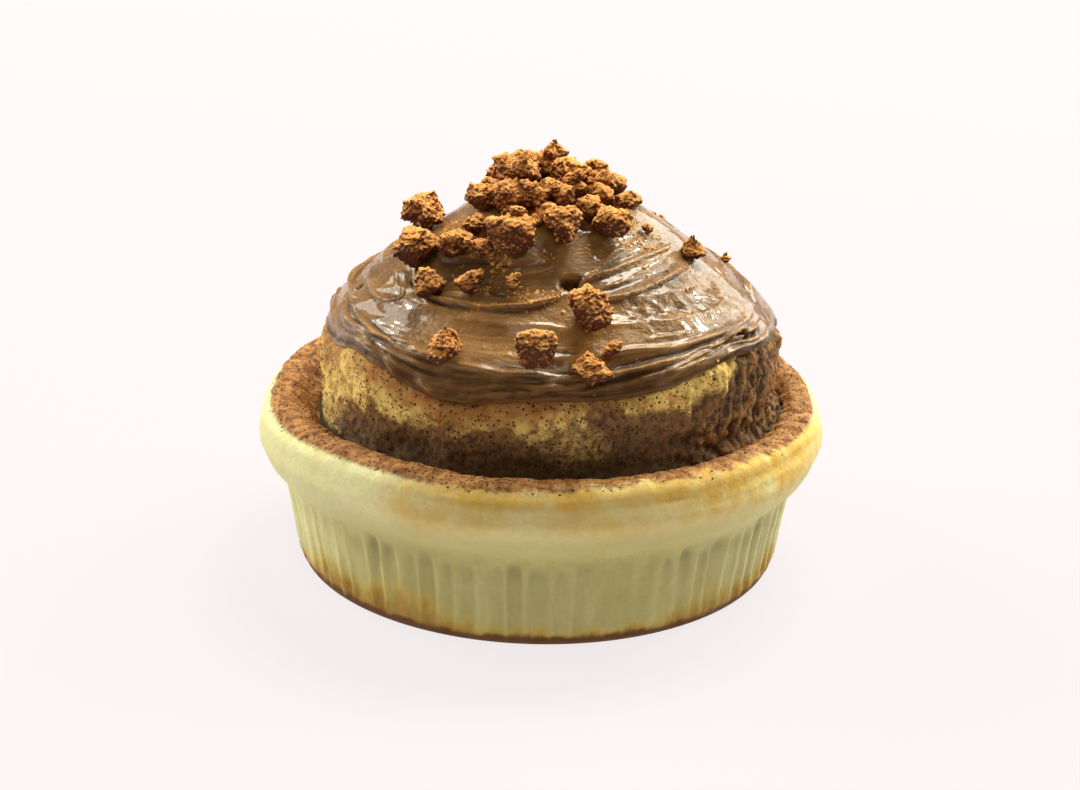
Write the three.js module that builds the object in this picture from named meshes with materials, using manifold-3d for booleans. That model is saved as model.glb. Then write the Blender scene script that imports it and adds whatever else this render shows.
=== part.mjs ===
// A cinnamon roll baked in a fluted paper cup and served as a tart: one coiled bun, a spread of
// biscuit cream over its crown, and broken biscuit crumbs heaped on the spread.
// Units are millimetres and +Z is up. The origin is at the centre of the flat base, and the front
// faces -Y. Azimuths run anticlockwise from +X, and the tables give them in degrees.
import * as THREE from "three";
import { mergeVertices } from "three/addons/utils/BufferGeometryUtils.js";
import Module from "manifold-3d";

const wasm = await Module();
wasm.setup();

// ---- driving dimensions ----
const RIM_RADIUS = 55.3; // widest point of the swollen rim
const RIM_HEIGHT = 33.0; // top of the rim above the base
const BASE_RADIUS = 47.6; // foot of the fluted wall
const BASE_ROUND = 3.0; // rounding of the bottom edge
const WALL_RADIUS = 49.8; // top of the fluted wall
const WALL_HEIGHT = 18.5; // height that the paper cup reached
const FLUTES = 78; // pleats that the cup pressed into the dough
const FLUTE_DEPTH = 0.7;
const COIL_RADIUS = 43.0; // wall of the raised inner turn
const SHOULDER_HEIGHT = 44.4; // where the inner turn rounds over
const CROWN_HEIGHT = 62.0; // dough at the axis, under the spread
const LEAN = 1.8; // how far the raised turn and all it carries stand off towards +X
const SPREAD_RADIUS = 42.9; // lip of the spread
const SPREAD_LIP_HEIGHT = 45.6; // mean height of the lip
const SPREAD_HEIGHT = 73.0; // top of the spread at the axis
const GAP = 0.3; // clearance between separate pieces
const CRUMB_SINK = 0.12; // share of a crumb's size that is pressed into what it lies on

const BUN_SEGMENTS = 2 * FLUTES; // one vertex on each pleat and one in each groove
const SPREAD_SEGMENTS = 72;

// ---- materials ----
const doughMaterial = new THREE.MeshStandardMaterial({ color: 0xdccf90, roughness: 0.75, metalness: 0 });
const spreadMaterial = new THREE.MeshStandardMaterial({ color: 0x7d5530, roughness: 0.25, metalness: 0 });
const crumbMaterial = new THREE.MeshStandardMaterial({ color: 0xb86a2c, roughness: 0.85, metalness: 0 });

// ---- helpers ----

// A closed geometry as a manifold solid: only its positions count, with shared vertices merged.
function solidFrom(geometry) {
  const bare = new THREE.BufferGeometry();
  bare.setAttribute("position", geometry.getAttribute("position"));
  if (geometry.index) bare.setIndex(geometry.index);
  const merged = mergeVertices(bare, 1e-3);
  return new wasm.Manifold(
    new wasm.Mesh({
      numProp: 3,
      vertProperties: merged.attributes.position.array,
      triVerts: new Uint32Array(merged.index.array),
    }),
  );
}

// A manifold solid back as a flat-shaded geometry.
function geometryFrom(solid) {
  const mesh = solid.getMesh();
  const geometry = new THREE.BufferGeometry();
  geometry.setAttribute("position", new THREE.BufferAttribute(mesh.vertProperties, mesh.numProp));
  geometry.setIndex(new THREE.BufferAttribute(mesh.triVerts, 1));
  const flat = geometry.toNonIndexed();
  flat.computeVertexNormals();
  return flat;
}

// Turns a profile of Vector2 (distance from the axis, height) round the Z axis.
function turned(outline, segments) {
  const geometry = new THREE.LatheGeometry(outline, segments);
  geometry.rotateX(Math.PI / 2);
  return geometry;
}

// Moves every vertex to what shape(radius, azimuth, height) returns: [radius, height, shift along X].
function reshape(geometry, shape) {
  const place = geometry.getAttribute("position");
  for (let i = 0; i < place.count; i++) {
    const azimuth = Math.atan2(place.getY(i), place.getX(i));
    const reach = Math.hypot(place.getX(i), place.getY(i));
    const [radius, height, shift] = shape(reach, azimuth, place.getZ(i));
    place.setXYZ(i, shift + radius * Math.cos(azimuth), radius * Math.sin(azimuth), height);
  }
  return geometry;
}

const smooth = THREE.MathUtils.smoothstep;

// A repeatable stream of numbers from 0 to 1, one stream for each seed.
function chance(seed) {
  let state = seed * 2654435761;
  return () => {
    state = (state + 0x6d2b79f5) | 0;
    let mixed = Math.imul(state ^ (state >>> 15), 1 | state);
    mixed = (mixed + Math.imul(mixed ^ (mixed >>> 7), 61 | mixed)) ^ mixed;
    return ((mixed ^ (mixed >>> 14)) >>> 0) / 4294967296;
  };
}

// ---- the bun ----

// The crown of the inner turn, from its wall to the axis.
const crownPoints = [
  [COIL_RADIUS, SHOULDER_HEIGHT - 6],
  [COIL_RADIUS - 0.6, SHOULDER_HEIGHT],
  [COIL_RADIUS - 3.0, SHOULDER_HEIGHT + 3.8],
  [COIL_RADIUS - 9.4, SHOULDER_HEIGHT + 8.0],
  [COIL_RADIUS - 21.0, CROWN_HEIGHT - 4.4],
  [COIL_RADIUS - 33.0, CROWN_HEIGHT - 1.0],
];

// Foot, fluted wall, swollen rim, the crease inside it, and the inner turn.
function bunOutline() {
  const vector = ([radius, height]) => new THREE.Vector2(radius, height);
  const outline = new THREE.Path();
  outline.moveTo(0, 0);
  outline.lineTo(BASE_RADIUS - BASE_ROUND, 0);
  outline.quadraticCurveTo(BASE_RADIUS, 0, BASE_RADIUS, BASE_ROUND);
  outline.lineTo((BASE_RADIUS + WALL_RADIUS) / 2, (BASE_ROUND + WALL_HEIGHT) / 2);
  outline.lineTo(WALL_RADIUS, WALL_HEIGHT - 1.5);
  outline.lineTo(WALL_RADIUS + 0.4, WALL_HEIGHT);
  outline.splineThru(
    [
      [WALL_RADIUS + 3.6, WALL_HEIGHT + 3.2],
      [RIM_RADIUS, WALL_HEIGHT + 7.5],
      [RIM_RADIUS - 1.0, RIM_HEIGHT - 2.6],
      [RIM_RADIUS - 3.6, RIM_HEIGHT],
    ].map(vector),
  );
  outline.lineTo(RIM_RADIUS - 7.0, RIM_HEIGHT - 0.2);
  outline.lineTo(COIL_RADIUS + 3.0, RIM_HEIGHT - 2.0);
  outline.lineTo(COIL_RADIUS + 1.6, RIM_HEIGHT - 7.5); // bottom of the crease
  outline.lineTo(COIL_RADIUS + 0.6, RIM_HEIGHT - 3.0);
  crownPoints.forEach(([radius, height]) => outline.lineTo(radius, height));
  outline.lineTo(0, CROWN_HEIGHT);
  return outline.getPoints(2);
}

// The pleats of the cup, the uneven swelling of the rim and the lean of the raised inner turn.
function bunShape(radius, azimuth, height) {
  const onWall = smooth(height, 1, 5) * (1 - smooth(height, WALL_HEIGHT - 1, WALL_HEIGHT + 0.5));
  const outside = smooth(radius, COIL_RADIUS + 3, COIL_RADIUS + 5);
  const pleat = FLUTE_DEPTH * onWall * outside * (0.5 - 0.5 * Math.cos(FLUTES * azimuth));
  const onRim = smooth(height, WALL_HEIGHT, WALL_HEIGHT + 6) * outside;
  const swell = onRim * (0.35 * Math.sin(3 * azimuth + 0.8) + 0.25 * Math.sin(7 * azimuth + 2));
  const lift = onRim * (0.4 * Math.sin(2 * azimuth - 0.6) + 0.2 * Math.sin(5 * azimuth));
  const lean = LEAN * (1 - outside) * smooth(height, WALL_HEIGHT, WALL_HEIGHT + 6);
  return [radius - pleat + swell, height + lift, lean];
}

function rolledBun() {
  const geometry = turned(bunOutline(), BUN_SEGMENTS);
  return new THREE.Mesh(reshape(geometry, bunShape), doughMaterial);
}

// ---- the spread ----

// The outer face of the spread from its lip up to the axis, grown outwards by extra.
function spreadPoints(extra = 0) {
  const face = [
    [SPREAD_RADIUS, SPREAD_LIP_HEIGHT],
    [SPREAD_RADIUS - 0.5, SPREAD_LIP_HEIGHT + 2.8],
    [SPREAD_RADIUS - 3.9, SPREAD_LIP_HEIGHT + 7.0],
    [SPREAD_RADIUS - 8.8, SPREAD_LIP_HEIGHT + 10.6],
    [SPREAD_RADIUS - 14.3, SPREAD_LIP_HEIGHT + 14.4],
    [SPREAD_RADIUS - 20.1, SPREAD_HEIGHT - 8.8],
    [SPREAD_RADIUS - 26.1, SPREAD_HEIGHT - 4.6],
    [SPREAD_RADIUS - 33.4, SPREAD_HEIGHT - 1.2],
    [0, SPREAD_HEIGHT],
  ];
  return face.map(([radius, height]) => {
    const steep = radius / SPREAD_RADIUS;
    return new THREE.Vector2(radius > 0 ? radius + extra * steep : 0, height + extra * (1 - 0.5 * steep));
  });
}

// Where the lip stands above or below its mean height: [azimuth, rise].
const lipRises = [
  [0, 0.6],
  [50, -0.6],
  [95, 0.5],
  [140, -0.3],
  [180, 0.4],
  [213, 1.6],
  [246, -1.4],
  [272, 0.2],
  [296, 0.5],
  [320, 3.2],
  [340, 1.6],
  [360, 0.6],
];

function lipRise(azimuth) {
  const turn = THREE.MathUtils.euclideanModulo(THREE.MathUtils.radToDeg(azimuth), 360);
  const next = Math.max(lipRises.findIndex(([place]) => place > turn), 1);
  const [start, low] = lipRises[next - 1];
  const [end, high] = lipRises[next];
  return THREE.MathUtils.lerp(low, high, smooth(turn, start, end));
}

function lipShape(radius, azimuth, height) {
  const nearLip = 1 - smooth(height, SPREAD_LIP_HEIGHT, SPREAD_LIP_HEIGHT + 8);
  return [radius, height + nearLip * lipRise(azimuth), LEAN];
}

// A solid dome with the spread's outer face, closed by a flat underside within the dough.
function spreadDome(extra = 0) {
  const lipBottom = SPREAD_LIP_HEIGHT - 0.8 - extra;
  const start = [new THREE.Vector2(0, lipBottom), new THREE.Vector2(SPREAD_RADIUS - 0.3 + extra, lipBottom)];
  const geometry = turned([...start, ...spreadPoints(extra)], SPREAD_SEGMENTS);
  return solidFrom(reshape(geometry, lipShape));
}

// The dough's crown grown by the gap: it hollows the dome, so the spread sits on the bun.
function crownCutter() {
  const outline = [new THREE.Vector2(0, SHOULDER_HEIGHT - 10)];
  outline.push(new THREE.Vector2(COIL_RADIUS + GAP + 0.2, SHOULDER_HEIGHT - 10));
  for (const [radius, height] of crownPoints) {
    const steep = radius / COIL_RADIUS;
    outline.push(new THREE.Vector2(radius + (GAP + 0.2) * steep, height + GAP * (1.4 - steep)));
  }
  outline.push(new THREE.Vector2(0, CROWN_HEIGHT + GAP));
  return solidFrom(turned(outline, SPREAD_SEGMENTS)).translate([LEAN, 0, 0]);
}

function spreadTopping() {
  return new THREE.Mesh(geometryFrom(spreadDome().subtract(crownCutter())), spreadMaterial);
}

// Height of the spread's outer face at a distance from its own axis.
function spreadHeightAt(distance) {
  const face = spreadPoints();
  for (let i = 1; i < face.length; i++) {
    if (distance >= face[i].x) {
      const share = (distance - face[i].x) / (face[i - 1].x - face[i].x);
      return THREE.MathUtils.lerp(face[i].y, face[i - 1].y, Math.min(share, 1));
    }
  }
  return SPREAD_HEIGHT;
}

// ---- the crumbs ----

// Where each crumb was dropped, in the order they landed: [x, y, size]. The hidden ones that
// carry the heap come first, then the heap from the bottom up, then those lying down the slopes.
const heapCore = [
  [-5, -2, 8.6],
  [4, -2.5, 7.6],
  [1, 4.5, 7.6],
  [-8.5, 4, 6],
  [8.5, 3, 5.8],
];
const heap = [
  [-5, -20, 8.3],
  [3.5, -17.5, 6.8],
  [12.5, -15.5, 7],
  [-11.5, -6.5, 6.4],
  [-6.5, -10, 7.3],
  [-0.5, -10.5, 5.6],
  [8, -12, 5],
  [13, -7, 3.4],
  [15, -8.5, 4],
  [-10, -13.5, 2.8],
  [-5, -19, 3.6],
  [-1.5, -15, 2.8],
  [4.5, -8, 3.9],
  [9, -6.5, 4.8],
  [-3, -11, 3.2],
  [-4, -6.5, 6.6],
  [2, -11, 3],
  [4.5, -7.5, 3.5],
  [6, -8.5, 3],
  [9, -5, 3.3],
  [0.5, -6.5, 3],
  [1.5, 3, 5.4],
];
const scattered = [
  [8.5, -42, 7.4],
  [-1, -41.5, 9],
  [-16.5, -37, 7.6],
  [12.5, -38, 4],
  [7.5, -34.5, 9.2],
  [-5.5, -26.5, 3.4],
  [-13, -25, 4.6],
  [-20, -23, 6.2],
  [-23.5, -13, 9.1],
  [-22.5, 2, 8],
  [-16, -16.5, 6.4],
  [-11, -19, 3.8],
  [-13, -13, 4.4],
  [28, -7.5, 5.2],
  [19, -9.5, 2.4],
  [35, 5.5, 2.6],
  [12, 23, 6.5],
  [22, 27, 4.5],
  [3, 27, 7],
  [-10, 25, 7.5],
  [-24, 24, 5],
  [12, 34, 5.5],
  [-8, 38, 6],
];
const SINGLE_SIZE = 3.2; // crumbs under this size are single lumps
const ROUND_SIZE = 5; // crumbs from this size up have a rounder main lump

// One ball of crumb: an icosahedron whose corners are pushed in and out.
function lump(radius, detail, random) {
  const geometry = new THREE.IcosahedronGeometry(radius, detail);
  const merged = mergeVertices(geometry.deleteAttribute("normal").deleteAttribute("uv"));
  const place = merged.getAttribute("position");
  const corner = new THREE.Vector3();
  for (let i = 0; i < place.count; i++) {
    corner.fromBufferAttribute(place, i).multiplyScalar(0.84 + 0.3 * random());
    place.setXYZ(i, corner.x, corner.y, corner.z);
  }
  return merged;
}

// A broken piece of biscuit about its own centre: a main lump with two or three smaller ones on it.
function crumbSolid(size, seed, growth = 0) {
  const random = chance(seed);
  const single = size < SINGLE_SIZE;
  const core = size * (single ? 0.48 : 0.4);
  let solid = solidFrom(lump(core + growth, size < ROUND_SIZE ? 0 : 1, random));
  const extras = single ? 0 : 2 + Math.floor(random() * 1.6);
  for (let i = 0; i < extras; i++) {
    const turn = random() * Math.PI * 2;
    const rise = random() * 1.6 - 0.8;
    const away = new THREE.Vector3(Math.cos(turn), Math.sin(turn), rise).setLength(core * 0.78);
    const part = lump(size * (0.24 + 0.08 * random()) + growth, 0, random);
    part.translate(away.x, away.y, away.z);
    solid = solid.add(solidFrom(part));
  }
  return solid;
}

// Drops the crumbs one after the other: each comes to rest on the spread or on crumbs below it.
function restingPlaces(drops) {
  const landed = [];
  for (const [x, y, size] of drops) {
    const distance = Math.hypot(x - LEAN, y);
    const slope = Math.abs(spreadHeightAt(distance + 1) - spreadHeightAt(Math.max(distance - 1, 0))) / 2;
    const bare = size * (0.5 - CRUMB_SINK);
    let z = spreadHeightAt(distance) + bare * Math.hypot(1, Math.min(slope, 1.2));
    for (const other of landed) {
      const reach = (size + other.size) * (0.5 - CRUMB_SINK);
      const apart = Math.hypot(x - other.x, y - other.y);
      if (apart < reach) z = Math.max(z, other.z + Math.sqrt(reach ** 2 - apart ** 2) * 0.8);
    }
    landed.push({ x, y, z, size });
  }
  return landed;
}

// The largest separate body of a solid, for where a cut has split off a sliver.
function largestBody(solid) {
  return solid.decompose().reduce((best, body) => (body.volume() > best.volume() ? body : best));
}

// Every crumb, cut clear of the spread and of the crumbs that landed before it.
function crumbMeshes() {
  const grownSpread = spreadDome(GAP);
  const places = restingPlaces([...heapCore, ...heap, ...scattered]);
  const grown = [];
  return places.map(({ x, y, z, size }, index) => {
    let solid = crumbSolid(size, index + 1).translate([x, y, z]).subtract(grownSpread);
    for (const other of grown) solid = solid.subtract(other);
    grown.push(crumbSolid(size, index + 1, GAP).translate([x, y, z]));
    const mesh = new THREE.Mesh(geometryFrom(largestBody(solid)), crumbMaterial);
    mesh.name = "crumb_" + String(index + 1).padStart(2, "0");
    return mesh;
  });
}

// ---- the whole tart ----
const bun = rolledBun();
bun.name = "rolled_bun";
const spread = spreadTopping();
spread.name = "biscuit_spread";

const tart = new THREE.Group();
tart.add(bun, spread, ...crumbMeshes());

// The rim swells unevenly, so the tart is centred over the origin by its own box.
const box = new THREE.Box3().setFromObject(tart, true);
const middle = box.getCenter(new THREE.Vector3());
tart.position.set(-middle.x, -middle.y, -box.min.z);

export default tart;
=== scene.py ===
# %% [markdown]
# # A cinnamon roll with biscuit spread and crumbs
# The roll is a soft coiled bun that was baked in a pleated paper cup. A glossy biscuit spread was
# dragged over its crown with a knife, and broken biscuit was dropped on the spread. This lesson
# dresses the measured frame of that roll. Every piece is made in mesh code in the frame's own
# place, so nothing has to be moved afterwards.

# %% Load the measured frame
import math

import bmesh
import bpy
import numpy as np
from mathutils import Matrix, Vector


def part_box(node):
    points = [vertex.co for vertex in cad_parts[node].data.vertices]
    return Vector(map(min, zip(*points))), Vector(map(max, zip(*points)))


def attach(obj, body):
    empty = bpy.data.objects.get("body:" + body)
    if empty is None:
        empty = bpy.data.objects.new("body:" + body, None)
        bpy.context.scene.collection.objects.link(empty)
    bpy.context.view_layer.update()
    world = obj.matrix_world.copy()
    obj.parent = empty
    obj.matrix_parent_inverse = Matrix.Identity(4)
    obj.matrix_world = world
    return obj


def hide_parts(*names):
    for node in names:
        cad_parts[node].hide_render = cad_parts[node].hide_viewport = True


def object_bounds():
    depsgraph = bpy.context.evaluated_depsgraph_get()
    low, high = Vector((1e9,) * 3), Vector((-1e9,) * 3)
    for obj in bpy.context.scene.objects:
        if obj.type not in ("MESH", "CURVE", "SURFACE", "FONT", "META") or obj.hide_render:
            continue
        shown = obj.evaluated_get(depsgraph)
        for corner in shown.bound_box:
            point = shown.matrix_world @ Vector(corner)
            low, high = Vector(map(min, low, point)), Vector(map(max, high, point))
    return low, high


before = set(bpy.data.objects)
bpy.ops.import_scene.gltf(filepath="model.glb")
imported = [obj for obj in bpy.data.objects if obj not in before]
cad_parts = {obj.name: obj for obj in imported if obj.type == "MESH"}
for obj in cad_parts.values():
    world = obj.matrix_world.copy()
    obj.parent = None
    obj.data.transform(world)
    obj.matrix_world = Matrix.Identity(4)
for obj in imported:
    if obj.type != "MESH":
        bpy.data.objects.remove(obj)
cad_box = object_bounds()
MM = 0.001
print("nodes in the frame:", len(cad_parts))

# %% [markdown]
# ## Chance that repeats
# Dough and spread are never even. A smooth random field gives the unevenness: random numbers stand
# at the corners of a lattice and are blended in between. Blender has noise textures for materials,
# but here the field also shapes the mesh, so it's a small function that works on whole arrays. Its
# numbers come from a formula, so the same seed always gives the same roll.

# %% Random fields
def rise(value, low, high):
    """0 below low, 1 above high, and a smooth slope in between."""
    share = np.clip((value - low) / (high - low), 0, 1)
    return share * share * (3 - 2 * share)


def bell(value, middle, width):
    """1 at the middle, fading smoothly to 0 some widths away."""
    return np.exp(-(((value - middle) / width) ** 2))


def scattered(cell, seed):
    """A repeatable number from 0 to 1 for each cell of a lattice."""
    mixed = np.sin(cell @ np.array([127.1, 311.7, 74.7]) + seed * 53.3) * 43758.5453
    return mixed - np.floor(mixed)


def field(places, size, seed):
    """A smooth random field from -1 to 1 whose bumps are about as wide as size."""
    scaled = places / size
    cell = np.floor(scaled)
    part = scaled - cell
    part = part * part * (3 - 2 * part)
    total = 0
    for corner in np.ndindex(2, 2, 2):
        share = np.prod(np.where(np.array(corner) == 1, part, 1 - part), axis=-1)
        total = total + share * scattered(cell + np.array(corner), seed)
    return 2 * total - 1


def grains(places, size, seed):
    """Packed round grains about as wide as size: 1 in the middle of a grain, 0 between grains."""
    scaled = places / size
    cell = np.floor(scaled)
    nearest = np.full(len(places), 9.0)
    for step in np.ndindex(3, 3, 3):
        at = cell + np.array(step) - 1
        centre = at + np.stack([scattered(at, seed + axis) for axis in range(3)], axis=-1)
        nearest = np.minimum(nearest, ((scaled - centre) ** 2).sum(axis=-1))
    return 1 - np.clip(np.sqrt(nearest), 0, 1)


def layered(places, size, seed, layers=3):
    """Random fields on top of each other, each half as wide and half as high as the last."""
    total = 0
    for layer in range(layers):
        total = total + field(places, size / 2**layer, seed + layer) / 2**layer
    return total


def by_azimuth(turn, stops):
    """A value that follows (azimuth in degrees, value) stops round the whole circle."""
    places = np.array([stop[0] for stop in stops], float)
    values = np.array([stop[1] for stop in stops], float)
    fine = np.interp(np.arange(360), places, values, period=360)
    weights = bell(np.arange(-9, 10), 0, 4)
    wrapped = np.concatenate([fine[-9:], fine, fine[:9]])
    soft = np.convolve(wrapped, weights / weights.sum(), mode="valid")
    return np.interp(turn, np.arange(360), soft, period=360)


print("sample of the field:", field(np.array([[1.5, 2.5, 3.5]]), 2.0, 1).round(3))

# %% [markdown]
# ## From rings to a closed mesh
# The bun and the spread are both round, so each is a stack of rings: an outline is turned round an
# axis, and then every point is pushed along its own normal. That keeps full control of the relief,
# and a ring stack is closed with one point at each pole, so no hole and no seam is left.

# %% Ring stacks
def along(points, spacing):
    """Points every spacing along a polyline."""
    points = np.array(points, float)
    steps = np.linalg.norm(np.diff(points, axis=0), axis=1)
    length = np.concatenate([[0], np.cumsum(steps)])
    count = max(int(length[-1] / spacing), 2)
    even = np.linspace(0, length[-1], count + 1)
    return np.stack([np.interp(even, length, column) for column in points.T], axis=1)


def softened(points, reach):
    """The same polyline with its corners rounded; the two ends stay."""
    window = bell(np.arange(-reach, reach + 1), 0, reach / 2)
    window = window / window.sum()
    before = 2 * points[0] - points[reach:0:-1]
    after = 2 * points[-1] - points[-2:-reach - 2:-1]
    padded = np.concatenate([before, points, after])
    return np.stack([np.convolve(column, window, mode="valid") for column in padded.T], axis=1)


def spaced_rows(outline, density, count):
    """Points of the outline for each row: more of them where the density is higher."""
    steps = np.linalg.norm(np.diff(outline, axis=0), axis=1)
    middle = (density[1:] + density[:-1]) / 2
    total = np.concatenate([[0], np.cumsum(steps * middle)])
    wanted = np.linspace(0, total[-1], count + 2)[1:-1]
    return np.stack([np.interp(wanted, total, column) for column in outline.T], axis=1)


def outward(outline):
    """The unit normal at each point of an outline of (radius, height), to its right."""
    way = np.gradient(outline, axis=0)
    normal = np.stack([way[:, 1], -way[:, 0]], axis=1)
    return normal / np.linalg.norm(normal, axis=1, keepdims=True)


def new_piece(name, data):
    """An object of that name for a mesh, light or camera, added to the scene."""
    piece = bpy.data.objects.new(name, data)
    bpy.context.scene.collection.objects.link(piece)
    return piece


def triangle_count(piece):
    """How many triangles the faces of a piece make."""
    return sum(len(face.vertices) - 2 for face in piece.data.polygons)


def ring_mesh(name, rings, bottom, top, attributes):
    """A closed mesh from rings (rows, columns, 3) in millimetres and its two pole points."""
    rows, columns = rings.shape[:2]
    vertices = np.concatenate([rings.reshape(-1, 3), [bottom, top]]) * MM
    index = np.arange(rows * columns).reshape(rows, columns)
    after = np.roll(index, -1, axis=1)
    quads = np.stack([index[:-1], after[:-1], after[1:], index[1:]], axis=-1).reshape(-1, 4)
    foot = [(rows * columns, after[0, j], index[0, j]) for j in range(columns)]
    head = [(index[-1, j], after[-1, j], rows * columns + 1) for j in range(columns)]
    mesh = bpy.data.meshes.new(name)
    mesh.from_pydata(vertices.tolist(), [], quads.tolist() + foot + head)
    for key, values in attributes.items():
        layer = mesh.attributes.new(key, "FLOAT", "POINT")
        layer.data.foreach_set("value", np.append(values.reshape(-1), [0, 0]).astype(np.float32))
    mesh.polygons.foreach_set("use_smooth", [True] * len(mesh.polygons))
    return new_piece(name, mesh)


# %% [markdown]
# ## Small helpers for node trees
# Materials and Geometry Nodes are both node trees. A few helpers keep the later cells short: one
# adds a node and fills or joins its inputs, others make the nodes that are used most, and one runs
# a tree on a piece and gives back a plain mesh. Blender addresses a modifier's inputs by each
# socket's identifier, so the helper looks that up from the name.

# %% Node helpers
def add_node(tree, kind, inputs=None, **settings):
    """A new node with its properties set, and its inputs given a value or joined to a socket."""
    node = tree.nodes.new(kind)
    for key, value in settings.items():
        setattr(node, key, value)
    for key, value in (inputs or {}).items():
        if isinstance(value, bpy.types.NodeSocket):
            tree.links.new(value, node.inputs[key])
        else:
            node.inputs[key].default_value = value
    return node


def math_node(tree, operation, first, second=0.0, third=0.0):
    """The result socket of a Math node."""
    node = add_node(tree, "ShaderNodeMath", {0: first, 1: second, 2: third}, operation=operation)
    return node.outputs[0]


def between(tree, value, low, high, to_low=0.0, to_high=1.0):
    """A smooth step of value from low to high, as a socket."""
    inputs = {"Value": value, "From Min": low, "From Max": high, "To Min": to_low, "To Max": to_high}
    node = add_node(tree, "ShaderNodeMapRange", inputs, interpolation_type="SMOOTHSTEP")
    return node.outputs["Result"]


def kept_number(tree, name):
    """The number that a geometry keeps under a name, in a geometry tree."""
    node = add_node(tree, "GeometryNodeInputNamedAttribute", {"Name": name}, data_type="FLOAT")
    return node.outputs[0]


def keep_number(tree, geometry, name, value):
    """Keeps a number at every point under a name, and returns the geometry that carries it."""
    inputs = {"Geometry": geometry, "Name": name, "Value": value}
    node = add_node(
        tree, "GeometryNodeStoreNamedAttribute", inputs, data_type="FLOAT", domain="POINT"
    )
    return node.outputs[0]


def end_tree(tree, geometry, material, done):
    """Ends a geometry tree: instances are made real, and the material is set."""
    real = add_node(tree, "GeometryNodeRealizeInstances", {"Geometry": geometry})
    inputs = {"Geometry": real.outputs[0], "Material": material}
    finished = add_node(tree, "GeometryNodeSetMaterial", inputs)
    tree.links.new(finished.outputs[0], done.inputs[0])


def new_tree(name, inputs):
    """A geometry tree with a geometry in and out, and the named inputs (name, socket type)."""
    tree = bpy.data.node_groups.new(name, "GeometryNodeTree")
    tree.interface.new_socket("Geometry", in_out="INPUT", socket_type="NodeSocketGeometry")
    for label, kind in inputs:
        tree.interface.new_socket(label, in_out="INPUT", socket_type=kind)
    tree.interface.new_socket("Geometry", in_out="OUTPUT", socket_type="NodeSocketGeometry")
    return tree, tree.nodes.new("NodeGroupInput").outputs, tree.nodes.new("NodeGroupOutput")


def evaluated_mesh(piece):
    """The mesh that a piece's modifiers make; the modifiers are then taken off."""
    bpy.context.view_layer.update()
    evaluated = piece.evaluated_get(bpy.context.evaluated_depsgraph_get())
    mesh = bpy.data.meshes.new_from_object(evaluated)
    piece.modifiers.clear()
    return mesh


def run_tree(piece, tree, values, name):
    """Runs a geometry tree on a piece once and returns the plain mesh object that it makes."""
    modifier = piece.modifiers.new(tree.name, "NODES")
    modifier.node_group = tree
    for socket in tree.interface.items_tree:
        if socket.in_out == "INPUT" and socket.name in values:
            modifier[socket.identifier] = values[socket.name]
    mesh = evaluated_mesh(piece)
    mesh.name = name
    return new_piece(name, mesh)


def discard(piece):
    """Removes a helper object that isn't part of the roll."""
    bpy.data.objects.remove(piece)


# %% [markdown]
# ## The bun's outline
# Seen from the side, the bun has a flat foot with a rounded edge, a nearly upright wall as high as
# the paper cup was, a swollen rim that rose over the cup, a flat brown rim top, a deep crease, and
# the raised inner turn of the coil. The measured box gives the rim's width and the crown's height;
# the other sizes hang on those two. The inner turn leans to one side, as it does on a real roll
# that rose a little crooked.

# %% Sizes of the bun
bun_low, bun_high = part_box("rolled_bun")
RIM = (bun_high.x - bun_low.x) / 2 / MM
CROWN = bun_high.z / MM
SPREAD_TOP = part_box("biscuit_spread")[1].z / MM
WALL = RIM - 5.5
FOOT = RIM - 7.7
COIL = RIM - 12.3
CUP_HEIGHT = 18.5
RIM_TOP = 33.0
SHOULDER = 44.4
LEAN = 1.8
BASE_AXIS = np.array([-0.48, 0.14, 0.0])
COIL_AXIS = BASE_AXIS + np.array([LEAN, 0.0, 0.0])
OUTLINE_STEP = 0.1
GAP = 0.3

# How far the edge of the spread stands above or below its mean height, round the coil.
LIP_HEIGHT = 45.6
LIP_STOPS = [
    (0, 0.6), (50, -0.6), (95, 0.5), (140, -0.3), (180, 0.3), (196, -0.6), (204, 0.2), (214, 1.9),
    (224, 1.0), (236, -0.6), (246, -2.2), (257, -0.9), (272, 0.4), (298, 0.7), (308, 2.4), (320, 3.6),
    (327, 3.2), (340, 1.6),
]

BUN_OUTLINE = [
    (0, 0), (FOOT - 3, 0), (FOOT - 0.8, 0.7), (FOOT, 3), (WALL - 1.1, 10.8),
    (WALL, CUP_HEIGHT - 1.5), (WALL + 0.5, CUP_HEIGHT + 0.4), (WALL + 3.4, CUP_HEIGHT + 3.1),
    (RIM - 0.35, 26), (RIM - 1.1, 30.2), (RIM - 3.6, RIM_TOP - 0.2), (RIM - 7.0, RIM_TOP - 0.3),
    (COIL + 3.2, RIM_TOP - 2), (COIL + 1.7, RIM_TOP - 7.2), (COIL + 0.6, RIM_TOP - 3),
    (COIL, SHOULDER - 6), (COIL - 0.5, SHOULDER), (COIL - 2.9, SHOULDER + 3.8),
    (COIL - 9.4, SHOULDER + 8), (COIL - 21, CROWN - 4.4), (COIL - 33, CROWN - 1), (0, CROWN),
]
print("rim radius", round(RIM, 1), "crown height", round(CROWN, 1))

# %% [markdown]
# ## Places on the bun
# Rows lie closest where the surface has the most detail: the wall, the rim top and the coil's
# wall. Where along the outline a row lies is kept as its height and side, so that later steps can
# say "on the rim" or "on the coil" in plain words.

# %% Rows and columns of the bun
FLUTES = 78
BUN_COLUMNS = 10 * FLUTES
BUN_ROWS = 118
PAST_RIM = 80
FRONT_CROWDING = 22.9

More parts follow.
